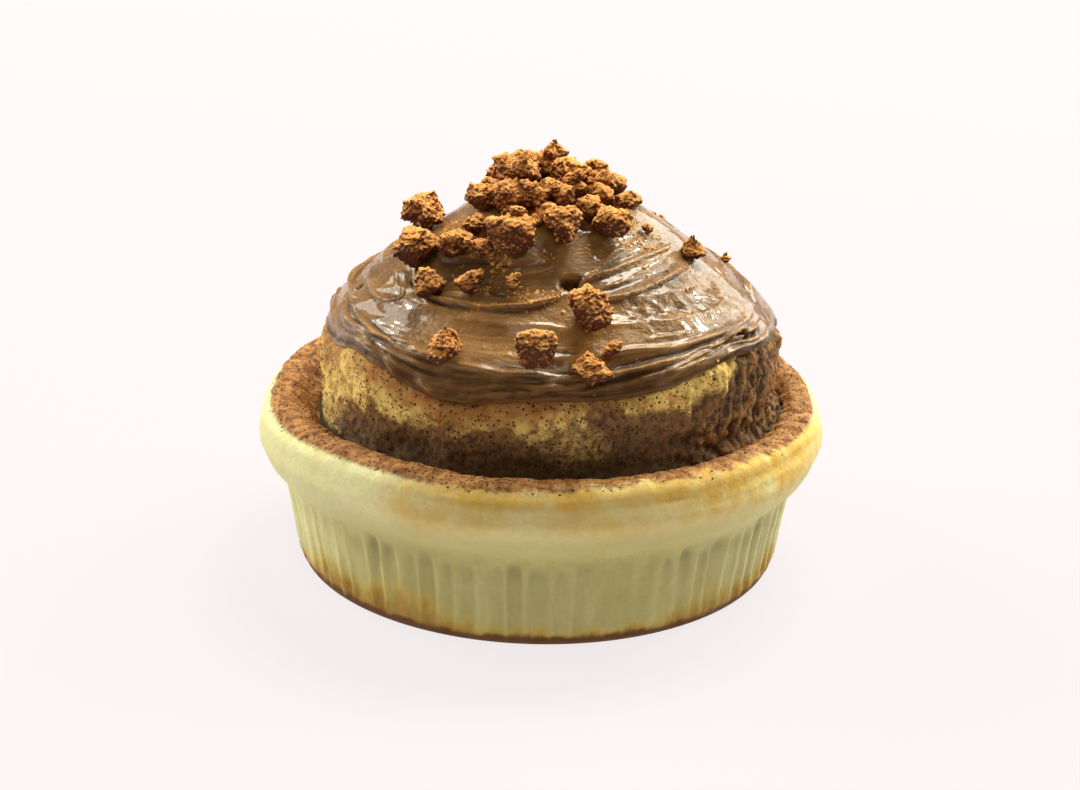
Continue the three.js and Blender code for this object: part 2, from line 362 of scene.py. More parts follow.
outline = softened(along(BUN_OUTLINE, OUTLINE_STEP), 9)
arc = np.arange(len(outline)) * OUTLINE_STEP
crease_arc = arc[np.argmin(np.where(arc > PAST_RIM, outline[:, 1], 99))]
inner = outline[:, 1] > SHOULDER + 5
hidden = (outline[:, 1] < 0.3) | (inner & (arc > crease_arc))
near_coil = bell(arc, crease_arc + 8, 14)
bun_rows = spaced_rows(
    np.column_stack([outline, arc]), np.where(hidden, 0.12, 0.8 + 0.7 * near_coil), BUN_ROWS
)
bun_profile = bun_rows[:, :2]
bun_arc = np.repeat(bun_rows[:, 2:], BUN_COLUMNS, axis=1)


def around(columns):
    """Azimuths of the columns, in degrees: closest together at the front, where most detail is."""
    share = np.arange(columns) / columns
    return 360 * share - FRONT_CROWDING * np.sin(2 * math.pi * (share - 0.75))


turns = around(BUN_COLUMNS)
bun_turn = np.repeat(turns[None, :], BUN_ROWS, axis=0)
bun_height = np.repeat(bun_profile[:, 1:], BUN_COLUMNS, axis=1)
on_coil = rise(bun_arc, crease_arc - 0.5, crease_arc + 0.5)
outside = 1 - on_coil


def to_normals(profile, turn):
    """The outward normals (points, 3) of an outline turned round an upright axis."""
    normal = outward(profile)[:, None, :]
    angle = np.radians(turn)
    x = normal[..., 0] * np.cos(angle)
    y = normal[..., 0] * np.sin(angle)
    return np.stack([x, y, normal[..., 1] + 0 * angle], axis=-1).reshape(-1, 3)


def to_places(profile, turn, axis_shift):
    """Points (rows, columns, 3) of an outline turned round the base axis."""
    radius = profile[:, 0][:, None]
    angle = np.radians(turn)
    x = radius * np.cos(angle) + axis_shift
    y = radius * np.sin(angle)
    z = np.repeat(profile[:, 1][:, None], turn.shape[1], axis=1)
    return np.stack([x, y, z], axis=-1) + BASE_AXIS


lean = LEAN * rise(bun_arc, crease_arc - 6, crease_arc + 2)
bun_places = to_places(bun_profile, bun_turn, lean)
bun_normals = to_normals(bun_profile, bun_turn)
print("rows", BUN_ROWS, "columns", BUN_COLUMNS)
print("crease at", round(float(crease_arc), 1), "mm along the outline")


# %% [markdown]
# ## Strokes and folds
# A knife mark, a fold of dough and a ridge of spread are all the same thing: a path over the
# surface, and a change of height that depends on how far a point is from that path. One function
# finds, for every point, the distance along and across a path. The path is a short list of
# (azimuth, height) places.

# %% Paths over a round surface
PATH_STEP = 0.6


def path_on(profile, axis, stops):
    """A smooth path in space through (azimuth, height) stops on a turned outline."""
    stops = np.array(stops, float)
    share = np.linspace(0, 1, len(stops))
    fine = np.linspace(0, 1, 40 * len(stops))
    azimuth = np.interp(fine, share, stops[:, 0])
    height = np.interp(fine, share, stops[:, 1])
    blurred = softened(np.stack([azimuth, height], axis=1), 14)
    order = np.argsort(profile[:, 1])
    radius = np.interp(blurred[:, 1], profile[order, 1], profile[order, 0])
    angle = np.radians(blurred[:, 0])
    return np.stack([radius * np.cos(angle), radius * np.sin(angle), blurred[:, 1]], axis=1) + axis


def measure(places, normals, path, reach):
    """Places within reach of a path: their indices, distances across and along it, its length."""
    path = along(path, PATH_STEP)
    length = (len(path) - 1) * PATH_STEP
    low = path.min(axis=0) - reach
    high = path.max(axis=0) + reach
    near = np.flatnonzero(np.all((places > low) & (places < high), axis=1))
    best = np.full(len(near), np.inf)
    which = np.zeros(len(near), int)
    for number, point in enumerate(path):
        distance = ((places[near] - point) ** 2).sum(axis=1)
        closer = distance < best
        best[closer] = distance[closer]
        which[closer] = number
    way = np.gradient(path, axis=0)
    way = way / np.linalg.norm(way, axis=1, keepdims=True)
    offset = places[near] - path[which]
    side = np.cross(way[which], normals[near])
    across = (offset * side).sum(axis=1)
    travelled = which * PATH_STEP + (offset * way[which]).sum(axis=1)
    beyond = np.maximum(np.maximum(-travelled, travelled - length), 0)
    kept = (np.abs(across) < reach) & (beyond < reach)
    return near[kept], across[kept], travelled[kept], length


def ridge(height, places, normals, path, width, rise_by, taper=4.0, lean=1.0, seed=0, vary=0.0):
    """Adds a ridge (or a groove, when rise_by is negative) along a path, steeper below if it leans."""
    where, across, travelled, length = measure(places, normals, path, 4 * width)
    ends = rise(travelled, -width, taper) * (1 - rise(travelled, length - taper, length + width))
    line = np.stack([travelled, 0 * across, 0 * across], axis=1)
    strength = 1 + vary * field(line, 5.0, seed)
    wander = across + 0.5 * vary * width * field(line, 7.0, seed + 1)
    side_width = np.where(wander > 0, width / lean, width * lean)
    height[where] += rise_by * strength * ends * np.exp(-((wander / side_width) ** 2))


# %% [markdown]
# ## Relief of the bun
# The outside is soft and almost smooth. The rim has a long fold on its right, where the dough
# folded over itself as it rose, and its top is wrinkled. The coil's wall hangs over a little, is
# torn into upright ridges on the right, and has a few glossy folds on the left. Between rim and
# coil the filling has baked into coarse grains.

# %% Push the bun's surface in and out
flat_places = bun_places.reshape(-1, 3)
turn = bun_turn.reshape(-1)
z = bun_height.reshape(-1)
arc_at = bun_arc.reshape(-1)
coil_side = on_coil.reshape(-1)
rim_side = outside.reshape(-1)
crest_arc = arc[np.argmax(np.where(arc < crease_arc, outline[:, 1], 0))]


def window(turn, low, high, soft=8.0):
    """1 between two azimuths in degrees, fading over soft degrees at each end."""
    middle = (low + high) / 2
    away = np.abs((turn - middle + 180) % 360 - 180)
    return 1 - rise(away, (high - low) / 2 - soft / 2, (high - low) / 2 + soft / 2)


on_band = rise(z, CUP_HEIGHT, CUP_HEIGHT + 5) * rim_side
on_top = rise(arc_at, crest_arc - 4, crest_arc) * (1 - rise(arc_at, crease_arc - 3, crease_arc))
in_crease = bell(arc_at, crease_arc, 3.2)
on_wall = coil_side * rise(z, 27, 31)
right_side = window(turn, 300, 375, 34)
grainy = right_side * np.maximum(bell(arc_at, crease_arc, 5.0), 0.7 * on_wall)
sides = window(turn, 158, 216) + window(turn, 322, 385)
upright = flat_places * np.array([1, 1, 0.38])

relief = 0.45 * on_band * field(flat_places, 26, 3) + 0.14 * on_band * field(flat_places, 7, 4)
relief += 0.08 * rim_side * layered(flat_places, 3.2, 5) * rise(z, 1, 3)
past_crest = rise(arc_at, crest_arc - 0.5, crest_arc + 2.5)
relief += on_top * (0.25 * layered(flat_places, 3.5, 8) + 0.30 * past_crest * grains(flat_places, 1.5, 9))
round_wrinkles = np.stack([turn * 0.9, arc_at * 0.18, 0 * turn], axis=1)
relief -= 0.75 * on_top * sides * (1 - np.abs(field(round_wrinkles, 2.4, 12))) ** 4
relief += on_wall * (0.45 * field(flat_places, 8, 14) + 0.30 * layered(flat_places, 3, 15))
relief += on_wall * 0.22 * grains(flat_places, 1.3, 16) * rise(44 - z, 0, 6)
relief += on_wall * (0.9 * bell(z, 42.5, 4.2) - 0.5 * bell(z, 34, 3.5))
torn = 1 - 2 * np.abs(layered(upright, 2.3, 17, 2))
rough_part = on_wall * window(turn, 300, 352, 24) * (0.40 * torn - 0.2) * rise(z, 31, 36)
crumbly = 1.3 * grains(flat_places, 1.9, 181) + 0.6 * grains(flat_places, 1.1, 183) - 0.7
rough_part += on_wall * right_side * crumbly
rough_part -= on_wall * right_side * 0.9 * grains(flat_places, 3.1, 185) ** 2
rough_part += grainy * (0.95 * grains(flat_places, 2.3, 19) + 0.50 * grains(flat_places, 1.1, 22) - 0.5)
relief += rough_part
# How far the torn grains stand out, for painted light on high grains and painted shade on low ones.
raised = np.clip(0.45 + 0.70 * rough_part, 0, 1)
relief += in_crease * 0.5 * field(flat_places, 5, 21)
relief -= 0.8 * in_crease * window(turn, 262, 320)

RIM_PROFILE = bun_profile[(bun_profile[:, 1] > 20) & (bun_rows[:, 2] < crest_arc)]
COIL_PROFILE = bun_profile[(bun_rows[:, 2] > crease_arc + 1)]
fold = path_on(RIM_PROFILE, BASE_AXIS, [(270, 29.6), (285, 29.4), (305, 29.8), (322, 29.9), (345, 29.2)])
ridge(relief, flat_places, bun_normals, fold, 0.7, -0.7, 12, 1.4, 26, 0.3)
upper_fold = path_on(RIM_PROFILE, BASE_AXIS, [(276, 31.4), (300, 31.6), (322, 31.7), (346, 31.0)])
ridge(relief, flat_places, bun_normals, upper_fold, 1.0, 0.4, 12, 1.3, 28, 0.4)
lower_fold = path_on(RIM_PROFILE, BASE_AXIS, [(288, 27.6), (306, 27.9), (330, 27.8)])
ridge(relief, flat_places, bun_normals, lower_fold, 0.8, -0.35, 12, 1.3, 29, 0.5)

LEFT_FOLDS = [
    ([(190, 45), (197, 40), (207, 35), (220, 31)], 1.3),
    ([(185, 42), (193, 36), (203, 31.5), (214, 29)], 1.1),
    ([(180, 39), (188, 33), (196, 30)], 1.0),
]
for number, (stops, width) in enumerate(LEFT_FOLDS):
    path = path_on(COIL_PROFILE, COIL_AXIS, stops)
    ridge(relief, flat_places, bun_normals, path, width, 1.3, 5, 1.5, 24 + number, 0.3)
pit = path_on(COIL_PROFILE, COIL_AXIS, [(241, 39.4), (243, 39.8)])
ridge(relief, flat_places, bun_normals, pit, 0.5, -1.1, 1)

bearing = np.radians(turn)
swell = on_band * (0.35 * np.sin(3 * bearing + 0.8) + 0.25 * np.sin(7 * bearing + 2))
lift = on_band * (0.4 * np.sin(2 * bearing - 0.6) + 0.2 * np.sin(5 * bearing))
lift += 0.85 * on_band * window(turn, 225, 310, 60) * (1 - rise(arc_at, crease_arc - 3, crease_arc))
shoulder_rise = by_azimuth(turn, LIP_STOPS) * coil_side * rise(z, 38, 44) * (1 - rise(z, 47, 55))
shaped = flat_places + bun_normals * relief[:, None]
shaped[:, 0] += swell * np.cos(bearing)
shaped[:, 1] += swell * np.sin(bearing)
CREASE_FILL = [
    (0, 4), (90, 2.5), (180, 2.5), (200, 2.2), (216, 1), (240, 0), (318, 0), (332, 3), (350, 4.2),
]
shaped[:, 2] += lift + shoulder_rise + by_azimuth(turn, CREASE_FILL) * bell(arc_at, crease_arc, 3.0)
shaped[:, 2] = np.maximum(shaped[:, 2], 0)
print("relief from", relief.min().round(2), "to", relief.max().round(2), "mm")

# %% [markdown]
# ## What is baked where, and where shade is painted
# Most colours of the roll follow how it was baked. Each effect is kept as a number at every point:
# how toasted the foot is, where the cinnamon lies on the rim, where the dark filling shows on the
# coil's wall and how far below its upper line a point lies, which is drawn darker, and where the
# crust is golden. Some numbers hold painted shade and light instead: the darker front of the lower
# wall, a darker band on the left of the rim, the near-black crease, the oily brown under the
# spread's lip with its painted shadow, and how far the torn side stands out, whose low grains are
# painted dark and high ones light. The material mixes its colours by these numbers.

# %% Baking maps of the bun
CREST_STOPS = [
    (0, 31.5), (90, 31), (180, 31.5), (199, 30.9), (218, 30.4), (233, 30.0), (253, 31.6), (270, 32.5),
    (303, 33.4), (327, 32.6), (345, 31.2),
]
FILLING_STOPS = [
    (0, 48), (90, 44), (170, 39), (195, 38.5), (209, 36.4), (221, 38.2), (240, 39.4), (258, 39.4),
    (269, 41.0), (277, 44.0), (289, 44.2), (300, 42.4), (316, 43.4), (324, 49),
]
ragged = layered(flat_places, 6, 31)
fine_ragged = layered(flat_places, 1.8, 33)
crest_line = by_azimuth(turn, CREST_STOPS)
over_crest = rise(arc_at, crest_arc - 2.6, crest_arc - 1.4)
cinnamon = over_crest * rise(z - crest_line + 0.6 * fine_ragged + 0.5 * ragged, -1.9, 0.6)
cinnamon = np.maximum(cinnamon, rise(arc_at, crest_arc + 0.3, crest_arc + 1.6)) * rim_side
# Painted shade: the front of the lower wall gets less light, so it is drawn darker.
shaded = rim_side * window(turn, 212, 326, 70) * (1 - rise(z, 19, 27))
filling_line = by_azimuth(turn, FILLING_STOPS)
below = rise(filling_line - z + 2.2 * fine_ragged + 1.2 * ragged, -3.4, 2.8)
depth_in_filling = rise(filling_line - z + 1.5 * fine_ragged, -1.0, 6.5)
depth_in_filling = depth_in_filling * (1 - 0.5 * window(turn, 170, 226, 24))
filling = np.maximum(coil_side * below, bell(arc_at, crease_arc + 1.6, 1.8))
wedge = window(turn, 292, 320, 8) * rise(z + 0.5 * fine_ragged, 42.0, 43.8) * coil_side
filling = np.maximum(filling, 0.9 * grainy * rise(fine_ragged + 0.7, 0, 0.8)) * (1 - wedge)
pale_patch = window(turn, 270, 284) * bell(z, 37.5, 4) * coil_side
on_fold = window(turn, 178, 222) * coil_side * rise(relief, 0.3, 1.1)
far_left = 0.55 * window(turn, 170, 206, 16) * rise(arc_at, crease_arc + 1, crease_arc + 4)
filling = np.clip(filling * (1 - 0.45 * pale_patch) * (1 - np.maximum(0.6 * on_fold, far_left)), 0, 1)
lip_line = LIP_HEIGHT + by_azimuth(turn, LIP_STOPS)
# Under the spread's lip the coil is drawn brown: partly an oily stain, partly painted shadow of the lip.
lip_stain_and_shadow = coil_side * rise(z - lip_line + 2.0 * fine_ragged + ragged, -6.5, -0.5)
lip_stain_and_shadow = lip_stain_and_shadow * (1 - 0.9 * window(turn, 292, 322, 10))
# Painted shade: a band on the left of the rim is drawn darker.
band_tone = rim_side * rise(z, 20, 25) * window(turn, 140, 232, 40)
under_crest = 1.4 * bell(z, 30.8, 2.4) * window(turn, 246, 350, 20) * (0.85 + 0.35 * ragged)
under_crest += 0.6 * bell(z, 31.5, 2.0) * window(turn, 292, 345, 20)
front_tan = 0.85 * bell(z, 27.5, 4.2) * window(turn, 240, 345, 24) * (0.8 + 0.4 * ragged)
front_tan += 0.50 * bell(z, 28.0, 4.6) * window(turn, 326, 372, 16) * (0.8 + 0.4 * ragged)
golden = np.clip(lip_stain_and_shadow + rim_side * np.maximum(under_crest, front_tan), 0, 1)
foot_patches = window(turn, 208, 250, 24) + 0.5 * window(turn, 300, 350, 30) + 0.70
foot_top = 6.4 * foot_patches + 2.4 * layered(flat_places, 9, 37) + 1.0 * fine_ragged
toast = rim_side * np.clip(1.35 * (1 - z / np.maximum(foot_top, 1.5)), 0, 1)
edge = rim_side * rise(-z + 0.5 * fine_ragged + 0.5 * window(turn, 205, 300, 40), -3.4, -0.8)
cup = rim_side * (1 - rise(z, 16.5, 20.5)) * rise(z, 0.5, 3)
# Painted shade in the recess of the crease between rim and coil.
crease = bell(arc_at, crease_arc + 1.0, 5.0)

bun_attributes = {
    "cinnamon": cinnamon,
    "filling": filling,
    "golden": golden,
    "toast": toast,
    "edge": edge,
    "shaded": shaded,
    "outside": rim_side,
    "coil": coil_side,
    "grainy": grainy,
    "cup": cup,
    "crease": crease,
    "raised": raised,
    "sunk": depth_in_filling,
    "band_tone": band_tone,
}
bun_base = ring_mesh(
    "bun_base",
    shaped.reshape(BUN_ROWS, BUN_COLUMNS, 3),
    BASE_AXIS + [0, 0, 0],
    COIL_AXIS + [0, 0, CROWN],
    bun_attributes,
)
print("bun faces", len(bun_base.data.polygons))

# %% [markdown]
# ## Pleats pressed by the paper cup
# The cup's pleats repeat round the wall, which is what Geometry Nodes do well. The tree counts
# pleats by azimuth, shifts them a little by noise so that no two are alike, and presses the panels
# between them in. Each panel ends in its own low arch under the rim. The ridges left between the
# panels are thin, as the folds of the paper were.
# The tree also keeps where panels, panel tops and seams lie, for painted shade and a painted highlight.

# %% The pleat tree
pleat_tree, given, done = new_tree(
    "pleats",
    [
        ("Count", "NodeSocketFloat"),
        ("Depth", "NodeSocketFloat"),
        ("Bottom", "NodeSocketFloat"),
        ("Top", "NodeSocketFloat"),
        ("Irregularity", "NodeSocketFloat"),
        ("Seed", "NodeSocketFloat"),
        ("Material", "NodeSocketMaterial"),
    ],
)
t = pleat_tree
place = add_node(t, "GeometryNodeInputPosition").outputs[0]
axes = add_node(t, "ShaderNodeSeparateXYZ", {0: place})
spot = add_node(t, "ShaderNodeCombineXYZ", {"X": axes.outputs["X"], "Y": axes.outputs["Y"]}).outputs[0]
way_out = add_node(t, "ShaderNodeVectorMath", {0: spot}, operation="NORMALIZE").outputs[0]
azimuth = math_node(t, "ARCTAN2", axes.outputs["Y"], axes.outputs["X"])
count = math_node(t, "MULTIPLY", math_node(t, "DIVIDE", azimuth, 2 * math.pi), given["Count"])
wander = add_node(
    t, "ShaderNodeTexNoise", {"Vector": way_out, "W": given["Seed"], "Scale": 9.0}, noise_dimensions="4D"
)
shift = math_node(t, "MULTIPLY", math_node(t, "SUBTRACT", wander.outputs[0], 0.5), given["Irregularity"])
number = math_node(t, "ADD", count, shift)
part = math_node(t, "FRACT", math_node(t, "ADD", number, given["Count"]))
from_middle = math_node(t, "ABSOLUTE", math_node(t, "MULTIPLY_ADD", part, 2.0, -1.0))
between_panels = between(t, from_middle, 0.30, 0.98)
panel_chance = add_node(
    t, "ShaderNodeTexWhiteNoise", {"W": math_node(t, "FLOOR", number)}, noise_dimensions="1D"
).outputs["Value"]
arch = math_node(t, "MULTIPLY", math_node(t, "POWER", from_middle, 2.0), 0.0016)
panel_top = math_node(t, "SUBTRACT", given["Top"], arch)
panel_top = math_node(t, "MULTIPLY_ADD", panel_chance, 0.0015, panel_top)
over_panel = math_node(t, "SUBTRACT", axes.outputs["Z"], panel_top)
fade_top = between(t, over_panel, -0.0030, 0.0, 1.0, 0.0)
fade_foot = between(t, math_node(t, "SUBTRACT", axes.outputs["Z"], given["Bottom"]), 0.0, 0.005)
pressed = math_node(t, "MULTIPLY", math_node(t, "MULTIPLY", fade_top, fade_foot), kept_number(t, "outside"))
panel = math_node(t, "MULTIPLY", pressed, math_node(t, "SUBTRACT", 1.0, between_panels))
strength = add_node(
    t, "ShaderNodeTexNoise", {"Vector": place, "W": given["Seed"], "Scale": 45.0}, noise_dimensions="4D"
).outputs[0]
strength = between(t, strength, 0.32, 0.62, 0.15, 1.0)
strength = math_node(t, "MULTIPLY", strength, math_node(t, "MULTIPLY_ADD", panel_chance, 0.6, 0.5))
# The front that gets painted shade also has calmer pleats.
calm = math_node(t, "MULTIPLY_ADD", kept_number(t, "shaded"), -0.12, 1.0)
strength = math_node(t, "MULTIPLY", strength, calm)
depth = math_node(t, "MULTIPLY", math_node(t, "MULTIPLY", panel, given["Depth"]), strength)
inward = math_node(t, "MULTIPLY", depth, -1.0)
push = add_node(t, "ShaderNodeVectorMath", {0: way_out, "Scale": inward}, operation="SCALE").outputs[0]
moved = add_node(t, "GeometryNodeSetPosition", {"Geometry": given["Geometry"], "Offset": push})
# Kept for the material: painted shade in the pressed panels and at each panel top under the rim, and a
# painted highlight on the seams.
from_top = math_node(t, "ABSOLUTE", math_node(t, "ADD", over_panel, 0.0035))
smudge = math_node(t, "MULTIPLY", panel, between(t, from_top, 0.0, 0.0034, 1.0, 0.0))
seam = math_node(t, "MULTIPLY", pressed, between_panels)
shown = moved.outputs[0]
for label, value in (("pleat", panel), ("smudge", smudge), ("seam", seam)):
    shown = keep_number(t, shown, label, math_node(t, "MULTIPLY", value, strength))
end_tree(t, shown, given["Material"], done)

# %% [markdown]
# ## Dough and crust
# Bread is pale and slightly see-through, so the material scatters light a little under the
# surface. Its colour is mixed in layers: pale crumb first, then the golden crust, the toasted
# foot, the cinnamon on the rim and the dark filling. Each layer has its own fine noise, because
# baked colour is never flat, and small burnt specks of cinnamon lie over all of it. Painted shade
# darkens the front of the lower wall, a band on its left, the pressed panels, the panel tops under
# the rim, the crease and the coil under the spread's lip; the seams and the high torn grains get
# painted light.

# %% Material helpers
def new_material(name):
    """A material with its Principled shader, its tree and its object coordinates."""
    material = bpy.data.materials.new(name)
    material.use_nodes = True
    shader = material.node_tree.nodes["Principled BSDF"]
    place = add_node(material.node_tree, "ShaderNodeTexCoord").outputs["Object"]
    return material, material.node_tree, shader, place


def noise(tree, place, size_mm, detail=3.0, rough=0.6):
    """Noise whose bumps are about size_mm wide."""
    inputs = {"Vector": place, "Scale": 1000.0 / size_mm, "Detail": detail, "Roughness": rough}
    return add_node(tree, "ShaderNodeTexNoise", inputs).outputs["Fac"]


def attribute(tree, name):
    """A number that the mesh keeps at every point."""
    return add_node(tree, "ShaderNodeAttribute", attribute_name=name).outputs["Fac"]


def blend_colour(tree, share, under, over):
    """The colour under, covered by the colour over where share is high."""
    node = add_node(tree, "ShaderNodeMix", {"Factor": share}, data_type="RGBA")
    for slot, colour in ((6, under), (7, over)):
        if isinstance(colour, bpy.types.NodeSocket):
            tree.links.new(colour, node.inputs[slot])
        else:
            node.inputs[slot].default_value = (*colour, 1.0)
    return node.outputs[2]


def product(tree, *factors):
    """All the factors multiplied."""
    result = factors[0]
    for factor in factors[1:]:
        result = math_node(tree, "MULTIPLY", result, factor)
    return result


def speckled(tree, share, grain, spread_by=0.9):
    """A soft share turned into a fine-grained edge: noise decides where it starts."""
    moved = math_node(tree, "MULTIPLY_ADD", math_node(tree, "SUBTRACT", grain, 0.5), spread_by, share)
    return between(tree, moved, 0.18, 0.86)


def drawn_noise(tree, place, waves, upward, rough):
    """Noise drawn out in streaks: waves is its scale round the roll, upward its other coordinate."""
    axes = add_node(tree, "ShaderNodeSeparateXYZ", {0: place}).outputs
    flat = add_node(tree, "ShaderNodeCombineXYZ", {"X": axes["X"], "Y": axes["Y"]}).outputs[0]
    way_out = add_node(tree, "ShaderNodeVectorMath", {0: flat}, operation="NORMALIZE").outputs[0]
    scaled = {0: way_out, "Scale": waves}
    round_it = add_node(tree, "ShaderNodeVectorMath", scaled, operation="SCALE").outputs[0]
    lifted = add_node(tree, "ShaderNodeCombineXYZ", {"Z": upward}).outputs[0]
    spot = add_node(tree, "ShaderNodeVectorMath", {0: round_it, 1: lifted}, operation="ADD").outputs[0]
    inputs = {"Vector": spot, "Scale": 1.0, "Detail": 4.0, "Roughness": rough}
    return add_node(tree, "ShaderNodeTexNoise", inputs).outputs["Fac"]


# %% Colours of the dough
dough, tree, shader, place = new_material("baked_dough")
large = noise(tree, place, 14)
fine = noise(tree, place, 1.1, 5, 0.72)
medium = noise(tree, place, 3.2, 5, 0.65)
pale = blend_colour(tree, between(tree, large, 0.35, 0.65), (0.85, 0.82, 0.42), (0.90, 0.88, 0.50))
# Painted shade on the front of the lower wall.
pale = blend_colour(tree, product(tree, attribute(tree, "shaded"), 0.9), pale, (0.50, 0.44, 0.15))
pale = blend_colour(tree, product(tree, between(tree, fine, 0.46, 0.66), 0.34), pale, (0.66, 0.56, 0.20))
pale = blend_colour(tree, product(tree, between(tree, medium, 0.45, 0.70), 0.22), pale, (0.72, 0.64, 0.25))
# Painted shade on a band on the left of the rim.
pale = blend_colour(tree, product(tree, attribute(tree, "band_tone"), 0.5), pale, (0.66, 0.60, 0.28))
# Painted shade in the pressed panels of the pleats.
pale = blend_colour(tree, product(tree, attribute(tree, "pleat"), 0.72), pale, (0.46, 0.42, 0.17))
height = add_node(tree, "ShaderNodeSeparateXYZ", {0: place}).outputs["Z"]
streak = drawn_noise(tree, place, 19.0, math_node(tree, "MULTIPLY", height, 70.0), 0.62)
dark_streak = product(tree, attribute(tree, "cup"), between(tree, streak, 0.46, 0.72), 0.35)
pale = blend_colour(tree, dark_streak, pale, (0.42, 0.38, 0.15))
light_streak = product(tree, attribute(tree, "cup"), between(tree, streak, 0.52, 0.30), 0.12)
pale = blend_colour(tree, light_streak, pale, (0.86, 0.82, 0.44))
# Painted shade at the top of each panel, under the swollen rim.
smudge = product(tree, attribute(tree, "smudge"), between(tree, medium, 0.35, 0.60, 0.12, 0.5))
pale = blend_colour(tree, smudge, pale, (0.24, 0.23, 0.12))
# Painted highlight on the thin seams between the panels.
pale = blend_colour(tree, product(tree, attribute(tree, "seam"), 0.08), pale, (0.88, 0.85, 0.50))
mottle = noise(tree, place, 1.9, 7, 0.75)
wall_tan = blend_colour(tree, between(tree, mottle, 0.46, 0.62), (0.92, 0.64, 0.17), (0.52, 0.20, 0.036))
colour = blend_colour(tree, product(tree, attribute(tree, "coil"), 0.94), pale, wall_tan)
# On the coil the golden tone is the brown under the spread's lip: stain and painted shadow together.
gold_share = product(tree, attribute(tree, "golden"), between(tree, medium, 0.25, 0.7, 0.65, 1.0))
gold_tone = blend_colour(tree, attribute(tree, "coil"), (0.72, 0.42, 0.060), (0.36, 0.13, 0.026))
colour = blend_colour(tree, gold_share, colour, gold_tone)
uneven = math_node(tree, "SUBTRACT", streak, 0.5)
toasted = math_node(tree, "MULTIPLY_ADD", uneven, 1.1, attribute(tree, "toast"))
toast_share = product(tree, between(tree, toasted, 0.0, 0.75), between(tree, medium, 0.3, 0.6, 0.75, 1.0))
well_toasted = between(tree, toasted, 0.35, 1.1)
toast_tone = blend_colour(tree, well_toasted, (0.62, 0.46, 0.10), (0.40, 0.20, 0.026))
colour = blend_colour(tree, toast_share, colour, toast_tone)
edge_share = speckled(tree, attribute(tree, "edge"), fine, 0.4)
colour = blend_colour(tree, product(tree, edge_share, 0.92), colour, (0.110, 0.038, 0.010))

# %% Colours of the cinnamon and the filling
rust_noise = between(tree, mottle, 0.40, 0.60)
rust = blend_colour(tree, rust_noise, (0.48, 0.23, 0.067), (0.22, 0.078, 0.018))
colour = blend_colour(tree, speckled(tree, attribute(tree, "cinnamon"), fine), colour, rust)
dark_noise = between(tree, noise(tree, place, 1.3, 7, 0.75), 0.42, 0.62)
brown = blend_colour(tree, dark_noise, (0.340, 0.165, 0.052), (0.115, 0.048, 0.017))
dark = blend_colour(tree, dark_noise, (0.155, 0.074, 0.032), (0.045, 0.021, 0.011))
dark = blend_colour(tree, attribute(tree, "sunk"), brown, dark)
# Painted light and shade on the torn side: high grains orange brown, low ones near black.
grain_noise = noise(tree, place, 1.0, 5, 0.72)
grain_tone = math_node(tree, "MULTIPLY_ADD", grain_noise, 2.2, attribute(tree, "raised"))
grain_share = between(tree, grain_tone, 1.25, 2.05)
coarse = blend_colour(tree, grain_share, (0.032, 0.014, 0.009), (0.50, 0.23, 0.070))
dark = blend_colour(tree, product(tree, attribute(tree, "grainy"), 0.9), dark, coarse)
# Painted shade in the crease: the dark filling is drawn near black there.
dark = blend_colour(tree, product(tree, attribute(tree, "crease"), 0.9), dark, (0.020, 0.009, 0.006))
filling_share = speckled(tree, attribute(tree, "filling"), mottle, 1.1)
colour = blend_colour(tree, product(tree, filling_share, 0.96), colour, dark)
inner_area = math_node(tree, "MAXIMUM", attribute(tree, "cinnamon"), attribute(tree, "coil"))
for dots_scale, dot_size in ((1250.0, 0.30), (560.0, 0.17)):
    cell = add_node(tree, "ShaderNodeTexVoronoi", {"Vector": place, "Scale": dots_scale})
    by_chance = add_node(tree, "ShaderNodeSeparateColor", {0: cell.outputs["Color"]}).outputs
    dot_edge = math_node(tree, "MULTIPLY_ADD", by_chance[1], dot_size, 0.55 * dot_size)
    dot_core = math_node(tree, "MULTIPLY", dot_edge, 0.6)
    dots = between(tree, cell.outputs["Distance"], dot_core, dot_edge, 1.0, 0.0)
    where_dots = between(tree, noise(tree, place, dots_scale / 200, 3), 0.36, 0.56)
    picked = between(tree, by_chance[0], 0.40, 0.50)
    dot_share = product(tree, dots, inner_area, where_dots, picked, 0.94)
    colour = blend_colour(tree, dot_share, colour, (0.030, 0.011, 0.006))
tree.links.new(colour, shader.inputs["Base Color"])

# %% Skin of the dough, and the finished bun
dryness = between(tree, noise(tree, place, 3), 0.4, 0.7, 0.66, 0.84)
tree.links.new(dryness, shader.inputs["Roughness"])
shader.inputs["Subsurface Weight"].default_value = 0.08
shader.inputs["Subsurface Radius"].default_value = (1.0, 0.6, 0.3)
shader.inputs["Subsurface Scale"].default_value = 0.0022
shader.inputs["Specular IOR Level"].default_value = 0.22
pores = math_node(tree, "MULTIPLY_ADD", noise(tree, place, 0.7, 4, 0.75), 0.6, noise(tree, place, 2.5, 3))
bump = add_node(tree, "ShaderNodeBump", {"Height": pores, "Strength": 0.5, "Distance": 0.0006})
tree.links.new(bump.outputs["Normal"], shader.inputs["Normal"])

bun = run_tree(
    bun_base,
    pleat_tree,
    {
        "Count": float(FLUTES),
        "Depth": 1.05 * MM,
        "Bottom": 0.6 * MM,
        "Top": 18.6 * MM,
        "Irregularity": 1.6,
        "Seed": 4.0,
        "Material": dough,
    },
    "rolled_bun_dough",
)
discard(bun_base)
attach(bun, "root")
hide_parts("rolled_bun")
print("bun triangles", triangle_count(bun))

